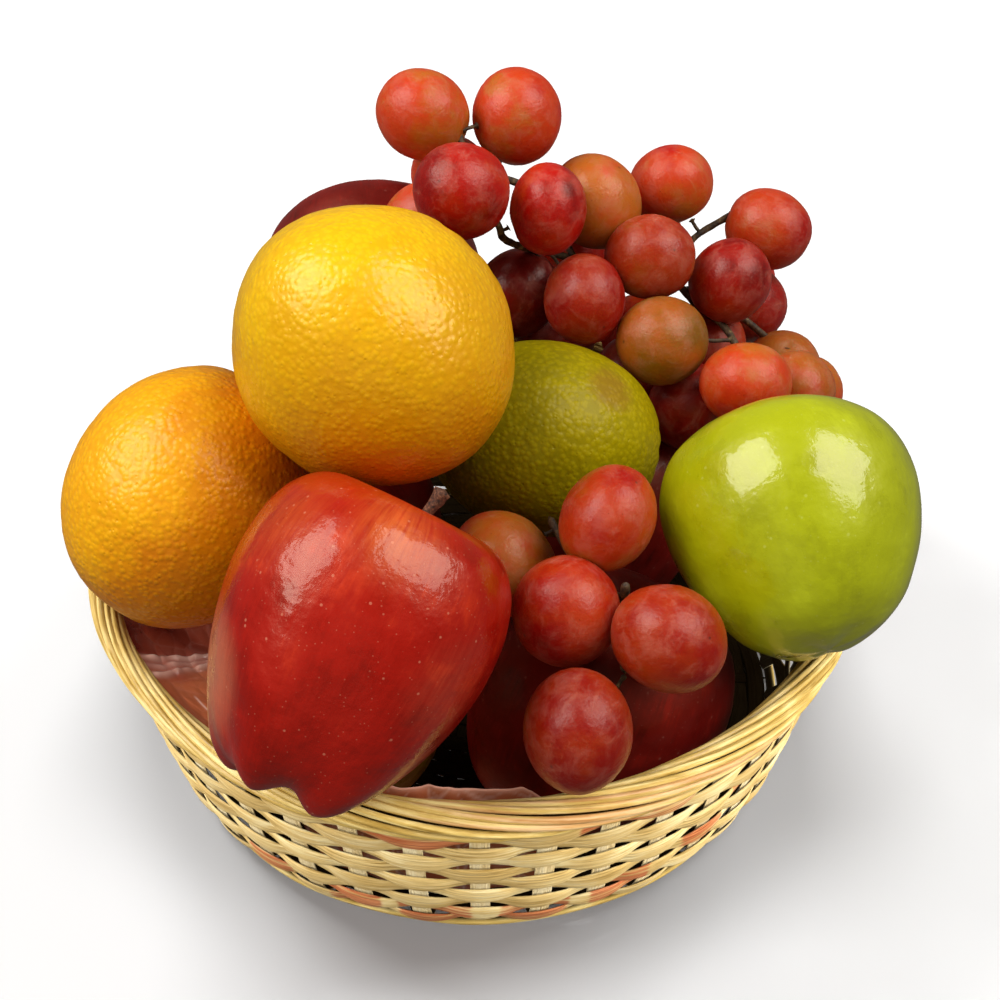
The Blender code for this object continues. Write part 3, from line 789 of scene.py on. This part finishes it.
def peelMaterial(name, pale, middle, deep, roughness, poreDepth, shine):
    # Waxed pitted peel: the colour drifts to the deep colour towards the shaded side as painted shade, pores
    # are small pits, the wax catches a soft light
    material = newMaterial(name, Roughness=roughness, Coat_Weight=shine * 0.5, Coat_Roughness=0.2,
                           Specular_IOR_Level=shine, Specular_Tint=(1, 0.82, 0.36, 1))
    peel = field("peel")
    drift = plus(times(factor("warm"), 0.42), times(grain(peel, 0.06, 2), 0.5))
    base = ramp(plus(drift, 0.25), (0.2, pale), (0.5, middle), (0.85, deep))
    # Rounded pebbles with creases between them
    dome = addNode("TexVoronoi", {"Vector": peel, "Scale": poreSize, "Smoothness": 0.35},
                   feature="SMOOTH_F1").outputs[0]
    pebbles = plus(spread(dome, 0, 0.75, 0.75, 0.15), times(grain(peel, 0.5, 2), 0.3))
    pits = spread(cells(peel, poreSize * 0.7), 0, 0.22)
    # Deep colour in the creases between the pebbles and pale pebble tops: painted shade and painted highlight
    base = mixed(spread(pebbles, 0.3, 0.55, 0.22, 0), base, deep)
    base = mixed(spread(pebbles, 0.5, 0.72, 0, 0.2), base, pale)
    corky = times(factor("russet"), plus(grain(peel, 0.5, 4, 0.6), 0.5))
    base = mixed(spread(corky, 0.3, 0.9, 0, 0.5), base, "8A5420")
    fine = bumped(grain(peel, 0.3), 0.3, 0.6)
    normal = bumped(plus(times(pebbles, 1.1), times(pits, 0.45)), poreDepth, 1, fine)
    connect(Base_Color=base, Normal=normal, Coat_Normal=normal,
            Roughness=spread(grain(peel, 0.25, 2), 0.3, 0.7, roughness - 0.05, roughness + 0.08))
    return material


def barkMaterial(name, roughness, scale, grainRough, stops, bumpScale, depth, strength):
    material = newMaterial(name, Roughness=roughness)
    peel = field("peel")
    connect(Base_Color=ramp(grain(peel, scale, 4, grainRough), *stops),
            Normal=bumped(grain(peel, bumpScale, 4), depth, strength))
    return material


dryBark = barkMaterial("dryBark", 0.8, 1.1, 0.65, [(0.36, "2A160A"), (0.5, "56301A"), (0.7, "86583A")],
                       2.2, 0.3, 0.8)
for fruitName, look in citrusLooks.items():
    finished(addCitrus(fruitName, look), peelMaterial(*look["peel"]), look["slot"], look["node"])
    finished(addButton(fruitName + "Button", look), dryBark, "stem_bark", look["node"])
print("citrus fruit made")


# Apples

appleOutlines = {
    "tall": [(0, 0.62), (0.1, 0.68), (0.22, 0.84), (0.36, 0.96), (0.52, 1), (0.7, 0.94), (0.86, 0.78),
             (0.96, 0.55), (1, 0.28), (0.985, 0), (0.93, -0.26), (0.84, -0.5), (0.72, -0.72), (0.58, -0.9),
             (0.42, -0.99), (0.28, -0.96), (0.14, -0.88), (0, -0.85)],
    "round": [(0, 0.66), (0.09, 0.71), (0.2, 0.86), (0.34, 0.97), (0.5, 1), (0.7, 0.93), (0.87, 0.73),
              (0.97, 0.44), (1, 0.1), (0.97, -0.24), (0.88, -0.54), (0.73, -0.8), (0.55, -0.96),
              (0.38, -1), (0.22, -0.95), (0.1, -0.89), (0, -0.87)],
    "domed": [(0, 0.76), (0.08, 0.8), (0.15, 0.91), (0.25, 0.985), (0.36, 1), (0.54, 0.94), (0.73, 0.8),
              (0.88, 0.58), (0.97, 0.32), (1, 0.04), (0.975, -0.24), (0.89, -0.5), (0.75, -0.74),
              (0.57, -0.89), (0.4, -0.96), (0.25, -0.989), (0.12, -0.998), (0, -1)],
}
# What an apple has unless its own look says otherwise
plainApple = {"outline": "round", "lobes": 0.02, "spin": 0, "lean": 0, "taper": 0}
appleLooks = {
    "greenApple": {"node": "apple_green", "place": (84.8, -40.1, 97.6), "wide": 33.4, "high": 32.9,
        "top": (-0.23, 0.84, 0.48), "outline": "domed", "lobes": 0.008, "lean": -0.05,
        "taper": 0.16, "stemTip": (75.6, -10, 114.5), "seed": 1},
    # Painted sheen on the sheen sides and painted light on the lit sides: side, how narrow or wide, strength
    "redApple": {"node": "apple_red_front", "place": (-29.5, -88.9, 103.5), "wide": 34, "high": 37,
        "top": (0.43, 0.62, 0.65), "outline": "tall", "lobes": 0.043, "spin": 0.33, "taper": 0.045,
        "stemTip": (-6.4, -63, 131.6), "seed": 2, "filledValley": 0.96,
        "bloomSides": [((-0.96, -0.26, 0.08), 0.82, 1), ((0.74, -0.64, 0.2), 0.85, 0.3)],
        "glowSides": [((0.324, -0.062, 0.944), 0.025, 0.6), ((-0.3, 0.1, 0.95), 0.03, 0.3)]},
    "darkApple": {"node": "apple_red_back", "place": (-33.5, 79, 96.2), "wide": 35.8, "high": 30.4,
        "top": (-0.12, 0.85, 0.52), "lobes": 0.015, "stemTip": (-42, 114, 116), "seed": 3},
    "lowApple": {"node": "apple_red_low", "place": (34, -50, 42.7), "wide": 35.8, "high": 34.4,
        "top": (0.4, 0.3, 0.87), "seed": 4},
    "lowAppleLeft": {"node": "apple_low_left", "place": (-48, 29.5, 42.5), "wide": 35.4, "high": 34.4,
        "top": (-0.5, 0.2, 0.84), "seed": 5},
    "lowAppleRight": {"node": "apple_low_right", "place": (38.5, 40, 40.8), "wide": 34.2, "high": 33.6,
        "top": (0.4, 0.5, 0.77), "seed": 6},
}


def shapeApple(look, turn, share):
    # Radius and height on the outline, mirrored over the axis at both ends
    outline = np.array(appleOutlines[look["outline"]])
    mirrored = np.vstack([outline[1] * [-1, 1], outline, outline[-2] * [-1, 1]])
    radius, part = curveAt(mirrored, np.clip(share, 0, 1) * (len(outline) - 1 - 1e-9)).T
    wide, high = look["wide"], look["high"]
    radius, z = radius * wide, part * high
    # Ribs at the eye end, a taper and a lean
    low = np.maximum(0, -part)
    rib = look["lobes"] * np.cos(5 * (turn - look["spin"]))
    if "filledValley" in look:
        rib = rib * (1 - 0.75 * bell(turn, look["filledValley"], 0.4))
    z = z - 1.3 * high * rib * low ** 2 * np.minimum(1, radius / (0.3 * wide))
    radius = radius * (1 + rib * (0.35 + low)) * (1 + look["taper"] * part)
    return ringed(radius, turn, z) + np.outer(wide * (1 - part ** 2) * look["lean"], (1, 0, 0))


def addApple(name, look):
    apple, unit, turn = ball(name, segments=144, rings=110)
    share = np.arccos(np.clip(unit[:, 2], -1, 1)) / math.pi
    local = shapeApple(look, turn, share)
    seed = look["seed"]
    inner = rise(np.hypot(local[:, 0], local[:, 1]), 0, 9)
    uneven = 0.5 * wobble(local, 24, seed) + 0.14 * wobble(local, 7, seed + 5)
    uneven += 0.035 * wobble(local, 2.2, seed + 9)
    local += unitRows(local) * (uneven * inner)[:, None]
    facing = standUp(apple, local, look["top"], look["place"])
    # Painted sheen and painted light, by how far each point faces the given sides
    bloom = [strength * rise(facing @ np.array(side), nearest, 1 - nearest)
             for side, nearest, strength in look.get("bloomSides", [])]
    glow = [strength * np.exp((facing @ np.array(side) - 1) / width)
            for side, width, strength in look.get("glowSides", [])]
    writeFields(apple, streak=ringed(look["wide"], turn, local[:, 2] * 0.1), share=share,
                bloom=np.max([0 * share, *bloom], axis=0), glow=np.max([0 * share, *glow], axis=0))
    return apple


def addEye(name, look):
    # Dried remains of the flower in the eye: five curled points
    base = shapeApple(look, np.zeros(1), np.ones(1))[0][2]
    width = np.array([1.1, 1.2, 1.25, 1.2, 1.15, 1.05, 0.95, 0.8, 0.65, 0.5, 0.3, 0.1])
    points = []
    for number in range(5):
        turn = number * math.tau / 5 + 0.3
        out = np.array([math.cos(turn), math.sin(turn), 0])
        path = smoothPath([out * reach + [0, 0, base + lift] for reach, lift in
                           ((0.6, 0.8), (1.7, -0.1), (2.7, -0.5), (3.6, -0.4))], 12)
        points.append(strand("sepal", path, out, width, 0.18, 8, 0.3))
    eye = joined(points, name)
    closeUp(eye)
    standUp(eye, readVectors(eye) / mm, look["top"], look["place"])
    return eye


def addStem(name, look):
    up = aimed(look["top"])
    tip = np.array(look["stemTip"])
    foot = np.array(look["place"]) + up * (appleOutlines[look["outline"]][0][1] * look["high"] - 0.6)
    reach = np.linalg.norm(tip - foot)
    path = smoothPath([foot, foot + up * 0.35 * reach, tip - (tip - foot) * 0.28, tip], 30)
    share = np.linspace(0, 1, 30)
    radius = 1.15 + 0.12 * np.sin(share * 19) + 1.6 * rise(share, 0.68, 0.32) ** 1.4
    radius[-3:] *= [1, 0.94, 0.7]
    stem = strand(name, path, (0.3, -0.5, 0.8), radius, radius * 0.92, 16)
    closeUp(stem)
    points = readVectors(stem) / mm
    axis = path[np.argmin(np.linalg.norm(points[:, None] - path[None], axis=2), axis=1)]
    points += unitRows(points - axis) * (0.34 * wobble(points, 1.7, look["seed"]))[:, None]
    writePoints(stem, points)
    writeFields(stem, peel=points)
    return stem


def appleMaterial(name, look):
    material = newMaterial(name, Roughness=look["rough"], Coat_Weight=look["wax"], Coat_Roughness=0.1,
                           Specular_Tint=(1, 0.78, 0.5, 1))
    peel, share = field("peel"), factor("share")
    lines = grain(field("streak"), 0.9, 5, 0.65, 0.4)
    patches = grain(peel, 0.06, 4, 0.6)
    drift = plus(times(patches, 1 - look["streaks"]), times(lines, look["streaks"]))
    base = ramp(minus(drift, spread(share, 0.45, 0.85, 0, look["deeperEnd"])), *look["drift"])
    # Nearer the stem hollow the skin turns to the second colour
    ragged = plus(times(lines, 0.14), times(patches, 0.3))
    crown = spread(plus(share, plus(ragged, -0.14)), *look["crownAt"])
    base = mixed(crown, ramp(lines, *look["crown"]), base)
    # Lenticels: small pale dots and finer ones between them
    for finer, near, far, strength in ((1, 0.06, 0.11, 1), (2.6, 0.07, 0.14, 0.6)):
        dots = cells(peel, look["dotScale"] * finer)
        base = mixed(spread(dots, near, far, look["dotStrength"] * strength, 0), base, look["dotColour"])
    if "bloomColour" in look:
        # Painted sheen on two sides and painted light on the upper skin where the lamps fall
        dusty = spread(plus(factor("bloom"), times(lines, 0.3)), 0.2, 1.2, 0, 0.5)
        base = mixed(dusty, base, look["bloomColour"])
        base = mixed(times(factor("glow"), spread(lines, 0.3, 0.62, 0.3, 0.95)), base, look["glowColour"])
    fine = bumped(grain(peel, 0.3), look["crinkle"])
    connect(Base_Color=base, Normal=fine, Coat_Normal=fine,
            Roughness=spread(patches, 0.35, 0.65, look["rough"] - 0.04, look["rough"] + 0.1))
    return material


greenSkin = appleMaterial("greenAppleSkin", {
    "rough": 0.3, "wax": 0.7, "streaks": 0.12, "deeperEnd": 0,
    "drift": [(0.3, "969A08"), (0.5, "A6AC08"), (0.7, "B4BC12")],
    "crown": [(0.35, "B6C020"), (0.65, "C8D23E")], "crownAt": (0.2, 0.5),
    "dotScale": 0.2, "dotStrength": 0.25, "dotColour": "D0D870", "crinkle": 0.2})
redSkin = appleMaterial("redAppleSkin", {
    "rough": 0.3, "wax": 0.32, "streaks": 0.22, "deeperEnd": 0.14,
    "drift": [(0.3, "8A0802"), (0.5, "A40D03"), (0.68, "C22808")],
    "crown": [(0.36, "D03C08"), (0.56, "DE6420"), (0.68, "E8A04A")], "crownAt": (0.16, 0.38),
    "dotScale": 0.24, "dotStrength": 0.4, "dotColour": "E09474", "crinkle": 0.26,
    "bloomColour": "DC8A62", "glowColour": "DC6E2A"})
# The apples at the back and low in the basket: a dark red skin made darker still as painted shade
darkSkin = appleMaterial("darkAppleSkin", {
    "rough": 0.42, "wax": 0.1, "streaks": 0.3, "deeperEnd": 0,
    "drift": [(0.3, "460201"), (0.5, "700402"), (0.7, "960C04")],
    "crown": [(0.35, "6E1A08"), (0.65, "8A3A18")], "crownAt": (0.08, 0.2),
    "dotScale": 0.22, "dotStrength": 0.25, "dotColour": "B07060", "crinkle": 0.16})
skins = {"greenApple": (greenSkin, "green_apple_skin"), "redApple": (redSkin, "red_apple_skin")}
for appleName, look in appleLooks.items():
    look = {**plainApple, **look}
    skin, slot = skins.get(appleName, (darkSkin, "dark_red_apple_skin"))
    finished(addApple(appleName, look), skin, slot, look["node"])
    if look["outline"] != "domed":  # the green apple's eye is grown over
        finished(addEye(appleName + "Eye", look), dryBark, "stem_bark", look["node"])
    if "stemTip" in look:
        finished(addStem(appleName + "Stem", look), dryBark, "stem_bark", look["node"] + "_stem")
print("apples made")


# Grapes

grapeLook = {"long": 1.045, "narrow": 0.975, "segments": 36, "rings": 26, "stalk": 1.1, "twig": 0.55,
             # The hidden grapes at the back: how many at most, how far from a stalk, and where they may be
             "rearCount": 14, "rearTries": 30000, "rearSeed": 5, "rearReach": 27, "insideWall": 96,
             "overBorder": 24, "rearLowest": 52, "toneSeed": 8}
upperGrapes = [
    (-16, 76, 161.5, 13.6), (12, 82, 158, 13.9), (-4, 43, 154.2, 14), (21, 52.5, 143, 13.2),
    (36, 73, 134, 14), (61, 91, 130, 13.2), (92, 84, 118, 13.1), (52, 54, 126, 13.1),
    (32, 40, 120, 13), (77.5, 59, 114.5, 12.7), (55, 33, 110, 13.5), (87.5, 79, 93, 12.8),
    (79, 21, 103, 12.9), (96.2, 56, 83.3, 12.7), (96.8, 33.2, 91.9, 12.1), (107.6, 66, 67.8, 12.1),
    (12.5, 56, 112, 13.2), (65, 33, 86, 13), (72, 59, 90, 12.8), (-15, 57, 135.5, 12.9),
    (-8.5, 81, 139, 12.2), (25.7, 84.6, 76.3, 13), (48.9, 52, 84.8, 12.5),
]
upperStalks = [
    [(-5, 72, 158.5), (-3, 62, 150), (6, 49, 141), (10, 54, 131), (30, 66, 118), (52, 72, 108),
     (66, 78, 106), (80, 68, 99), (90, 60, 94), (100, 49, 90)],
    [(66, 78, 106), (68, 83, 114.5), (81, 88.5, 121)],
    [(52, 72, 108), (62, 66, 109), (68, 58, 106), (75, 51, 104), (79, 42, 102)],
    [(30, 66, 118), (24, 82, 122), (14, 94, 128), (2, 98, 130)],
    [(66, 78, 106), (66, 90, 96), (64, 98, 86)],
]
lowerGrapes = [
    (35, -47, 108.7, 13.4), (24, -66, 93.7, 14.1), (49, -79, 96.7, 14.1), (26, -98, 83.8, 14.3),
    (8, -42, 88.8, 14.1),
]
lowerStalks = [
    [(20, -34, 98.5), (30, -52, 92), (38, -62, 95), (39, -64, 102)],
    [(38, -62, 95), (39, -76, 81)],
]
# Grapes that aren't round: short and long share, and the tilt of the long way as the front shows it
upperShapes = {0: (0.97, 1.04, -30), 1: (0.97, 1.05, 90), 3: (0.86, 1.02, 85), 4: (0.98, 1.07, 125),
               5: (0.93, 1.03, 20), 7: (0.97, 1.05, 0), 8: (0.93, 1.04, 90), 12: (0.94, 1.06, 0)}
lowerShapes = {0: (0.91, 1.085, 60), 1: (0.99, 1.02, 90), 2: (0.95, 1.06, -25), 3: (0.94, 1.08, 90),
               4: (0.95, 1.08, -45)}
# Where the front view looks from, and its upward direction
frontView = Vector((7, -370, 382))
viewRight, viewUp = np.array([1, 0, 0]), np.array([0, 0.6374, 0.7705])
bigFruit = [(*look["place"], max(look["wide"], look["high"]))
            for look in (*citrusLooks.values(), *appleLooks.values())]


def nearestOn(stalks, place):
    spots = []
    for stalk in stalks:
        for first, second in zip(stalk, stalk[1:]):
            a, b = Vector(first), Vector(second)
            part = min(1, max(0, (place - a).dot(b - a) / (b - a).length_squared))
            spots.append(a + (b - a) * part)
    return min(spots, key=lambda spot: (spot - place).length)


def apart(place, radius, others, gap):
    return all((place - Vector(other[:3])).length > radius + other[3] + gap for other in others)


def behind(place, radius, others):
    # True where every edge of this grape is hidden from the front by something nearer
    ray = place - frontView
    across = ray.orthogonal().normalized()
    over = ray.normalized().cross(across)
    rays = [(Vector(other[:3]) - frontView, other[3] * 0.97) for other in others]
    nearer = [(toOther, reach) for toOther, reach in rays if toOther.length < ray.length]
    for number in range(16):
        angle = math.pi * number / 8
        sight = (ray + (across * math.cos(angle) + over * math.sin(angle)) * radius * 0.96).normalized()
        if not any(toOther.cross(sight).length < reach for toOther, reach in nearer):
            return False
    return True


def rearGrapes(grapes, stalks, fruit):
    look = grapeLook
    draw = random.Random(look["rearSeed"])
    added = []
    for _ in range(look["rearTries"]):
        if len(added) == look["rearCount"]:
            break
        stalk = stalks[0][3:-1] if draw.random() < 0.6 else draw.choice(stalks[3:])
        root = Vector(draw.choice(stalk))
        way = Vector((draw.gauss(0, 1), abs(draw.gauss(0, 1)) + 0.2, draw.gauss(0, 0.9))).normalized()
        radius = draw.uniform(12.3, 13.7)
        spot = root + way * draw.uniform(radius + 4, look["rearReach"])
        wide = math.hypot(spot.x, spot.y) > look["insideWall"]
        if wide and spot.z < rimLook["height"] + look["overBorder"] or spot.z < look["rearLowest"]:
            continue
        if (nearestOn(stalks, spot) - spot).length < radius + 1.5:
            continue
        if not behind(spot, radius, grapes + fruit):
            continue
        if apart(spot, radius, grapes + added, -0.5) and apart(spot, radius, fruit, 1.2):
            added.append((*spot, radius - 0.3))
    return added


def addGrape(place, radius, away, seed, shape, fields):
    grape, unit, _ = ball("grape", grapeLook["segments"], grapeLook["rings"])
    # Uneven skin, a small hollow at the stalk and a flat scar at the far end
    uneven = 0.32 * wobble(unit, 0.9, seed) + 0.1 * wobble(unit, 0.35, seed + 4)
    uneven -= 0.9 * np.exp(-(1 + unit[:, 2]) / 0.02) + 0.2 * np.exp(-(1 - unit[:, 2]) / 0.004)
    local = unit * radius * [grapeLook["narrow"], grapeLook["narrow"], grapeLook["long"]]
    if shape:
        short, long, tilt = shape
        tilt = math.radians(tilt)
        along = viewRight * math.cos(tilt) + viewUp * math.sin(tilt)
        across = viewUp * math.cos(tilt) - viewRight * math.sin(tilt)
        turned = unit * radius @ fruitTurn(away).T
        longer = np.outer(turned @ along, along) * (long - 1)
        turned += longer + np.outer(turned @ across, across) * (short - 1)
        local = turned @ fruitTurn(away)
    local = local + unit * uneven[:, None]
    standUp(grape, local, away, place)
    facing = unit @ fruitTurn(away).T
    scar = np.exp((facing @ aimed(fields["scarSide"]) - 1) / 0.03) if fields["scarSide"] else 0
    writeFields(grape, peel=local + seed * 40, share=unit[:, 2], tone=fields["tone"], shade=fields["shade"],
                scar=scar)
    return grape


def addBunch(name, firstSeed, grapes, stalks, tones, shades, shapes):
    balls, twigs = [], []
    share = np.linspace(0, 1, 14)
    twig = grapeLook["twig"] + 0.35 * rise(share, 0.2, -0.2) + 1.15 * rise(share, 0.84, 0.16)
    for number, (x, y, z, radius) in enumerate(grapes):
        place = Vector((x, y, z))
        root = nearestOn(stalks, place)
        away = (place - root).normalized()
        fields = {"tone": tones[number], "shade": shades.get(number, 0),
                  "scarSide": grapeScar["side"] if (name, number) == grapeScar["on"] else None}
        balls.append(addGrape(place, radius, away, number + firstSeed, shapes.get(number), fields))
        foot = place - away * (radius * grapeLook["long"] - 0.9)
        bend = Vector((noise.noise(place * 0.1), noise.noise(place * 0.1 + Vector((5, 5, 5))), 0)) * 2
        path = smoothPath([root, (root + foot) / 2 + bend, foot + away * 0.3], 14)
        twigs.append(strand("twig", path, (0.2, -0.6, 0.75), twig, twig, 10))
    for stalk in stalks:
        path = smoothPath(stalk, len(stalk) * 8)
        radii = grapeLook["stalk"] + 0.25 * wobble(path, 4, 2)
        twigs.append(strand("stalk", path, (0.2, -0.6, 0.75), radii, radii, 12))
    bunch = joined(balls, name)
    stems = joined(twigs, name + "Stalks")
    closeUp(stems)
    points = readVectors(stems) / mm
    points += unitRows(np.column_stack([wobble(points, 3, seed) for seed in (1, 2, 3)])) * 0.12
    writePoints(stems, points)
    writeFields(stems, peel=points)
    finished(bunch, grapeSkin, "grape_skin", nodeOfBunch[name])
    finished(stems, brownBark, "stem_bark", nodeOfBunch[name])


def grapeMaterial():
    material = newMaterial("grapeSkin", Roughness=0.4, Coat_Weight=0.16, Coat_Roughness=0.2,
                           Specular_IOR_Level=0.4, Specular_Tint=(1, 0.8, 0.66, 1),
                           Subsurface_Weight=0.5, Subsurface_Scale=0.006)
    peel, share = field("peel"), factor("share")
    patches = grain(peel, 0.07, 3, 0.55)
    veins = grain(stretched(peel, (1, 1, 0.3)), 0.35, 4, 0.65, 0.6)
    mottle = plus(times(patches, 0.78), times(veins, 0.15))
    blush = plus(plus(times(share, -0.1), plus(mottle, -0.22)), times(factor("tone"), 0.7))
    base = ramp(blush, (0.08, "8A0301"), (0.3, "B21005"), (0.52, "C63C10"), (0.74, "B86218"), (1, "8E5E0C"))
    base = mixed(spread(share, 0.997, 0.9995, 0, 0.7), base, "4A1E10")
    # Painted shade: the shade field darkens grapes that lie in shadow
    base = mixed(factor("shade"), base, "300402")
    # A dusty veil with fine worn marks over the skin
    veil = spread(grain(peel, 0.16, 5, 0.7, 0.5), 0.42, 0.7, 0, 0.22)
    dusty = mixed(veil, base, "C8806A")
    dusty = mixed(spread(veins, 0.55, 0.68, 0, 0.08), dusty, "D89A80")
    dusty = mixed(spread(cells(peel, 0.5), 0.05, 0.12, 0.4, 0), dusty, "5E1C10")
    dusty = mixed(spread(factor("scar"), 0.1, 0.9, 0, 0.6), dusty, "3A0A08")
    rough = bumped(plus(veins, grain(peel, 0.9)), 0.12)
    connect(Base_Color=dusty, Normal=rough, Coat_Normal=rough, Roughness=spread(veil, 0.02, 0.2, 0.36, 0.56),
            Coat_Weight=spread(veins, 0.4, 0.6, 0.14, 0.03))
    return material


grapeSkin = grapeMaterial()
brownBark = barkMaterial("brownBark", 0.65, 0.5, 0.6, [(0.34, "24160A"), (0.54, "4E381E"), (0.74, "8C7446")],
                         1.5, 0.25, 0.7)
nodeOfBunch = {"upperGrapes": "grape_bunch_upper", "lowerGrapes": "grape_bunch_lower"}
grapeScar = {"on": ("upperGrapes", 3), "side": (0.5, -0.45, 0.72)}
upperAll = upperGrapes + rearGrapes(upperGrapes, upperStalks, bigFruit)
# From deep red, 0, to golden, 1
upperTones = [0.5, 0.37, 0, 0.04, 0.76, 0.44, 0.38, 0.42, 0.2, 0.12, 0.94, 0.1, 0.46, 0.62, 0.62, 0.58,
              -0.2, 0, 0.2, 0.5, 0.4, 0.05, 0.1]
draw = random.Random(grapeLook["toneSeed"])
upperTones += [draw.uniform(0.05, 0.6) for _ in upperAll[len(upperTones):]]
lowerTones = [0.4, 0.25, 0.35, 0.3, 0.52]
# Some grapes are darker than the others: their own deeper colour and painted shade where they lie in shadow
upperShades = {2: 0.08, 6: 0.18, 7: 0.38, 8: 0.36, 9: 0.34, 10: 0.25, 11: 0.3, 13: 0.2, 14: 0.2, 16: 0.5,
               17: 0.45, 18: 0.4, 21: 0.55, 22: 0.45}
lowerShades = {0: 0.22, 1: 0.2, 2: 0.36, 3: 0.42, 4: 0.14}
addBunch("upperGrapes", 29, upperAll, upperStalks, upperTones, upperShades, upperShapes)
addBunch("lowerGrapes", 5, lowerGrapes, lowerStalks, lowerTones, lowerShades, lowerShapes)
print("grapes made")

for piece in (wallStakes, wallWeaver, footReed):
    piece.visible_diffuse = False  # no straw colour cast on the paper

# Every lamp gets the pieces that it lights
basketPieces = [wallStakes, wallWeaver, footReed, rimCore, rimReeds]
fruitPieces = [piece for piece in bpy.data.objects if piece.type == "MESH"
               and piece not in (*basketPieces, studioFloor, baseWeave)]
litPieces = {"basket": basketPieces, "fruit": fruitPieces, "film": [filmLiner], "floor": [studioFloor],
             "weave": [baseWeave]}
for lampName, (*_, kinds) in lampLooks.items():
    lit = bpy.data.collections.new(lampName + "Pieces")
    for kind in kinds.split():
        for piece in litPieces[kind]:
            lit.objects.link(piece)
    bpy.data.objects[lampName].light_linking.receiver_collection = lit
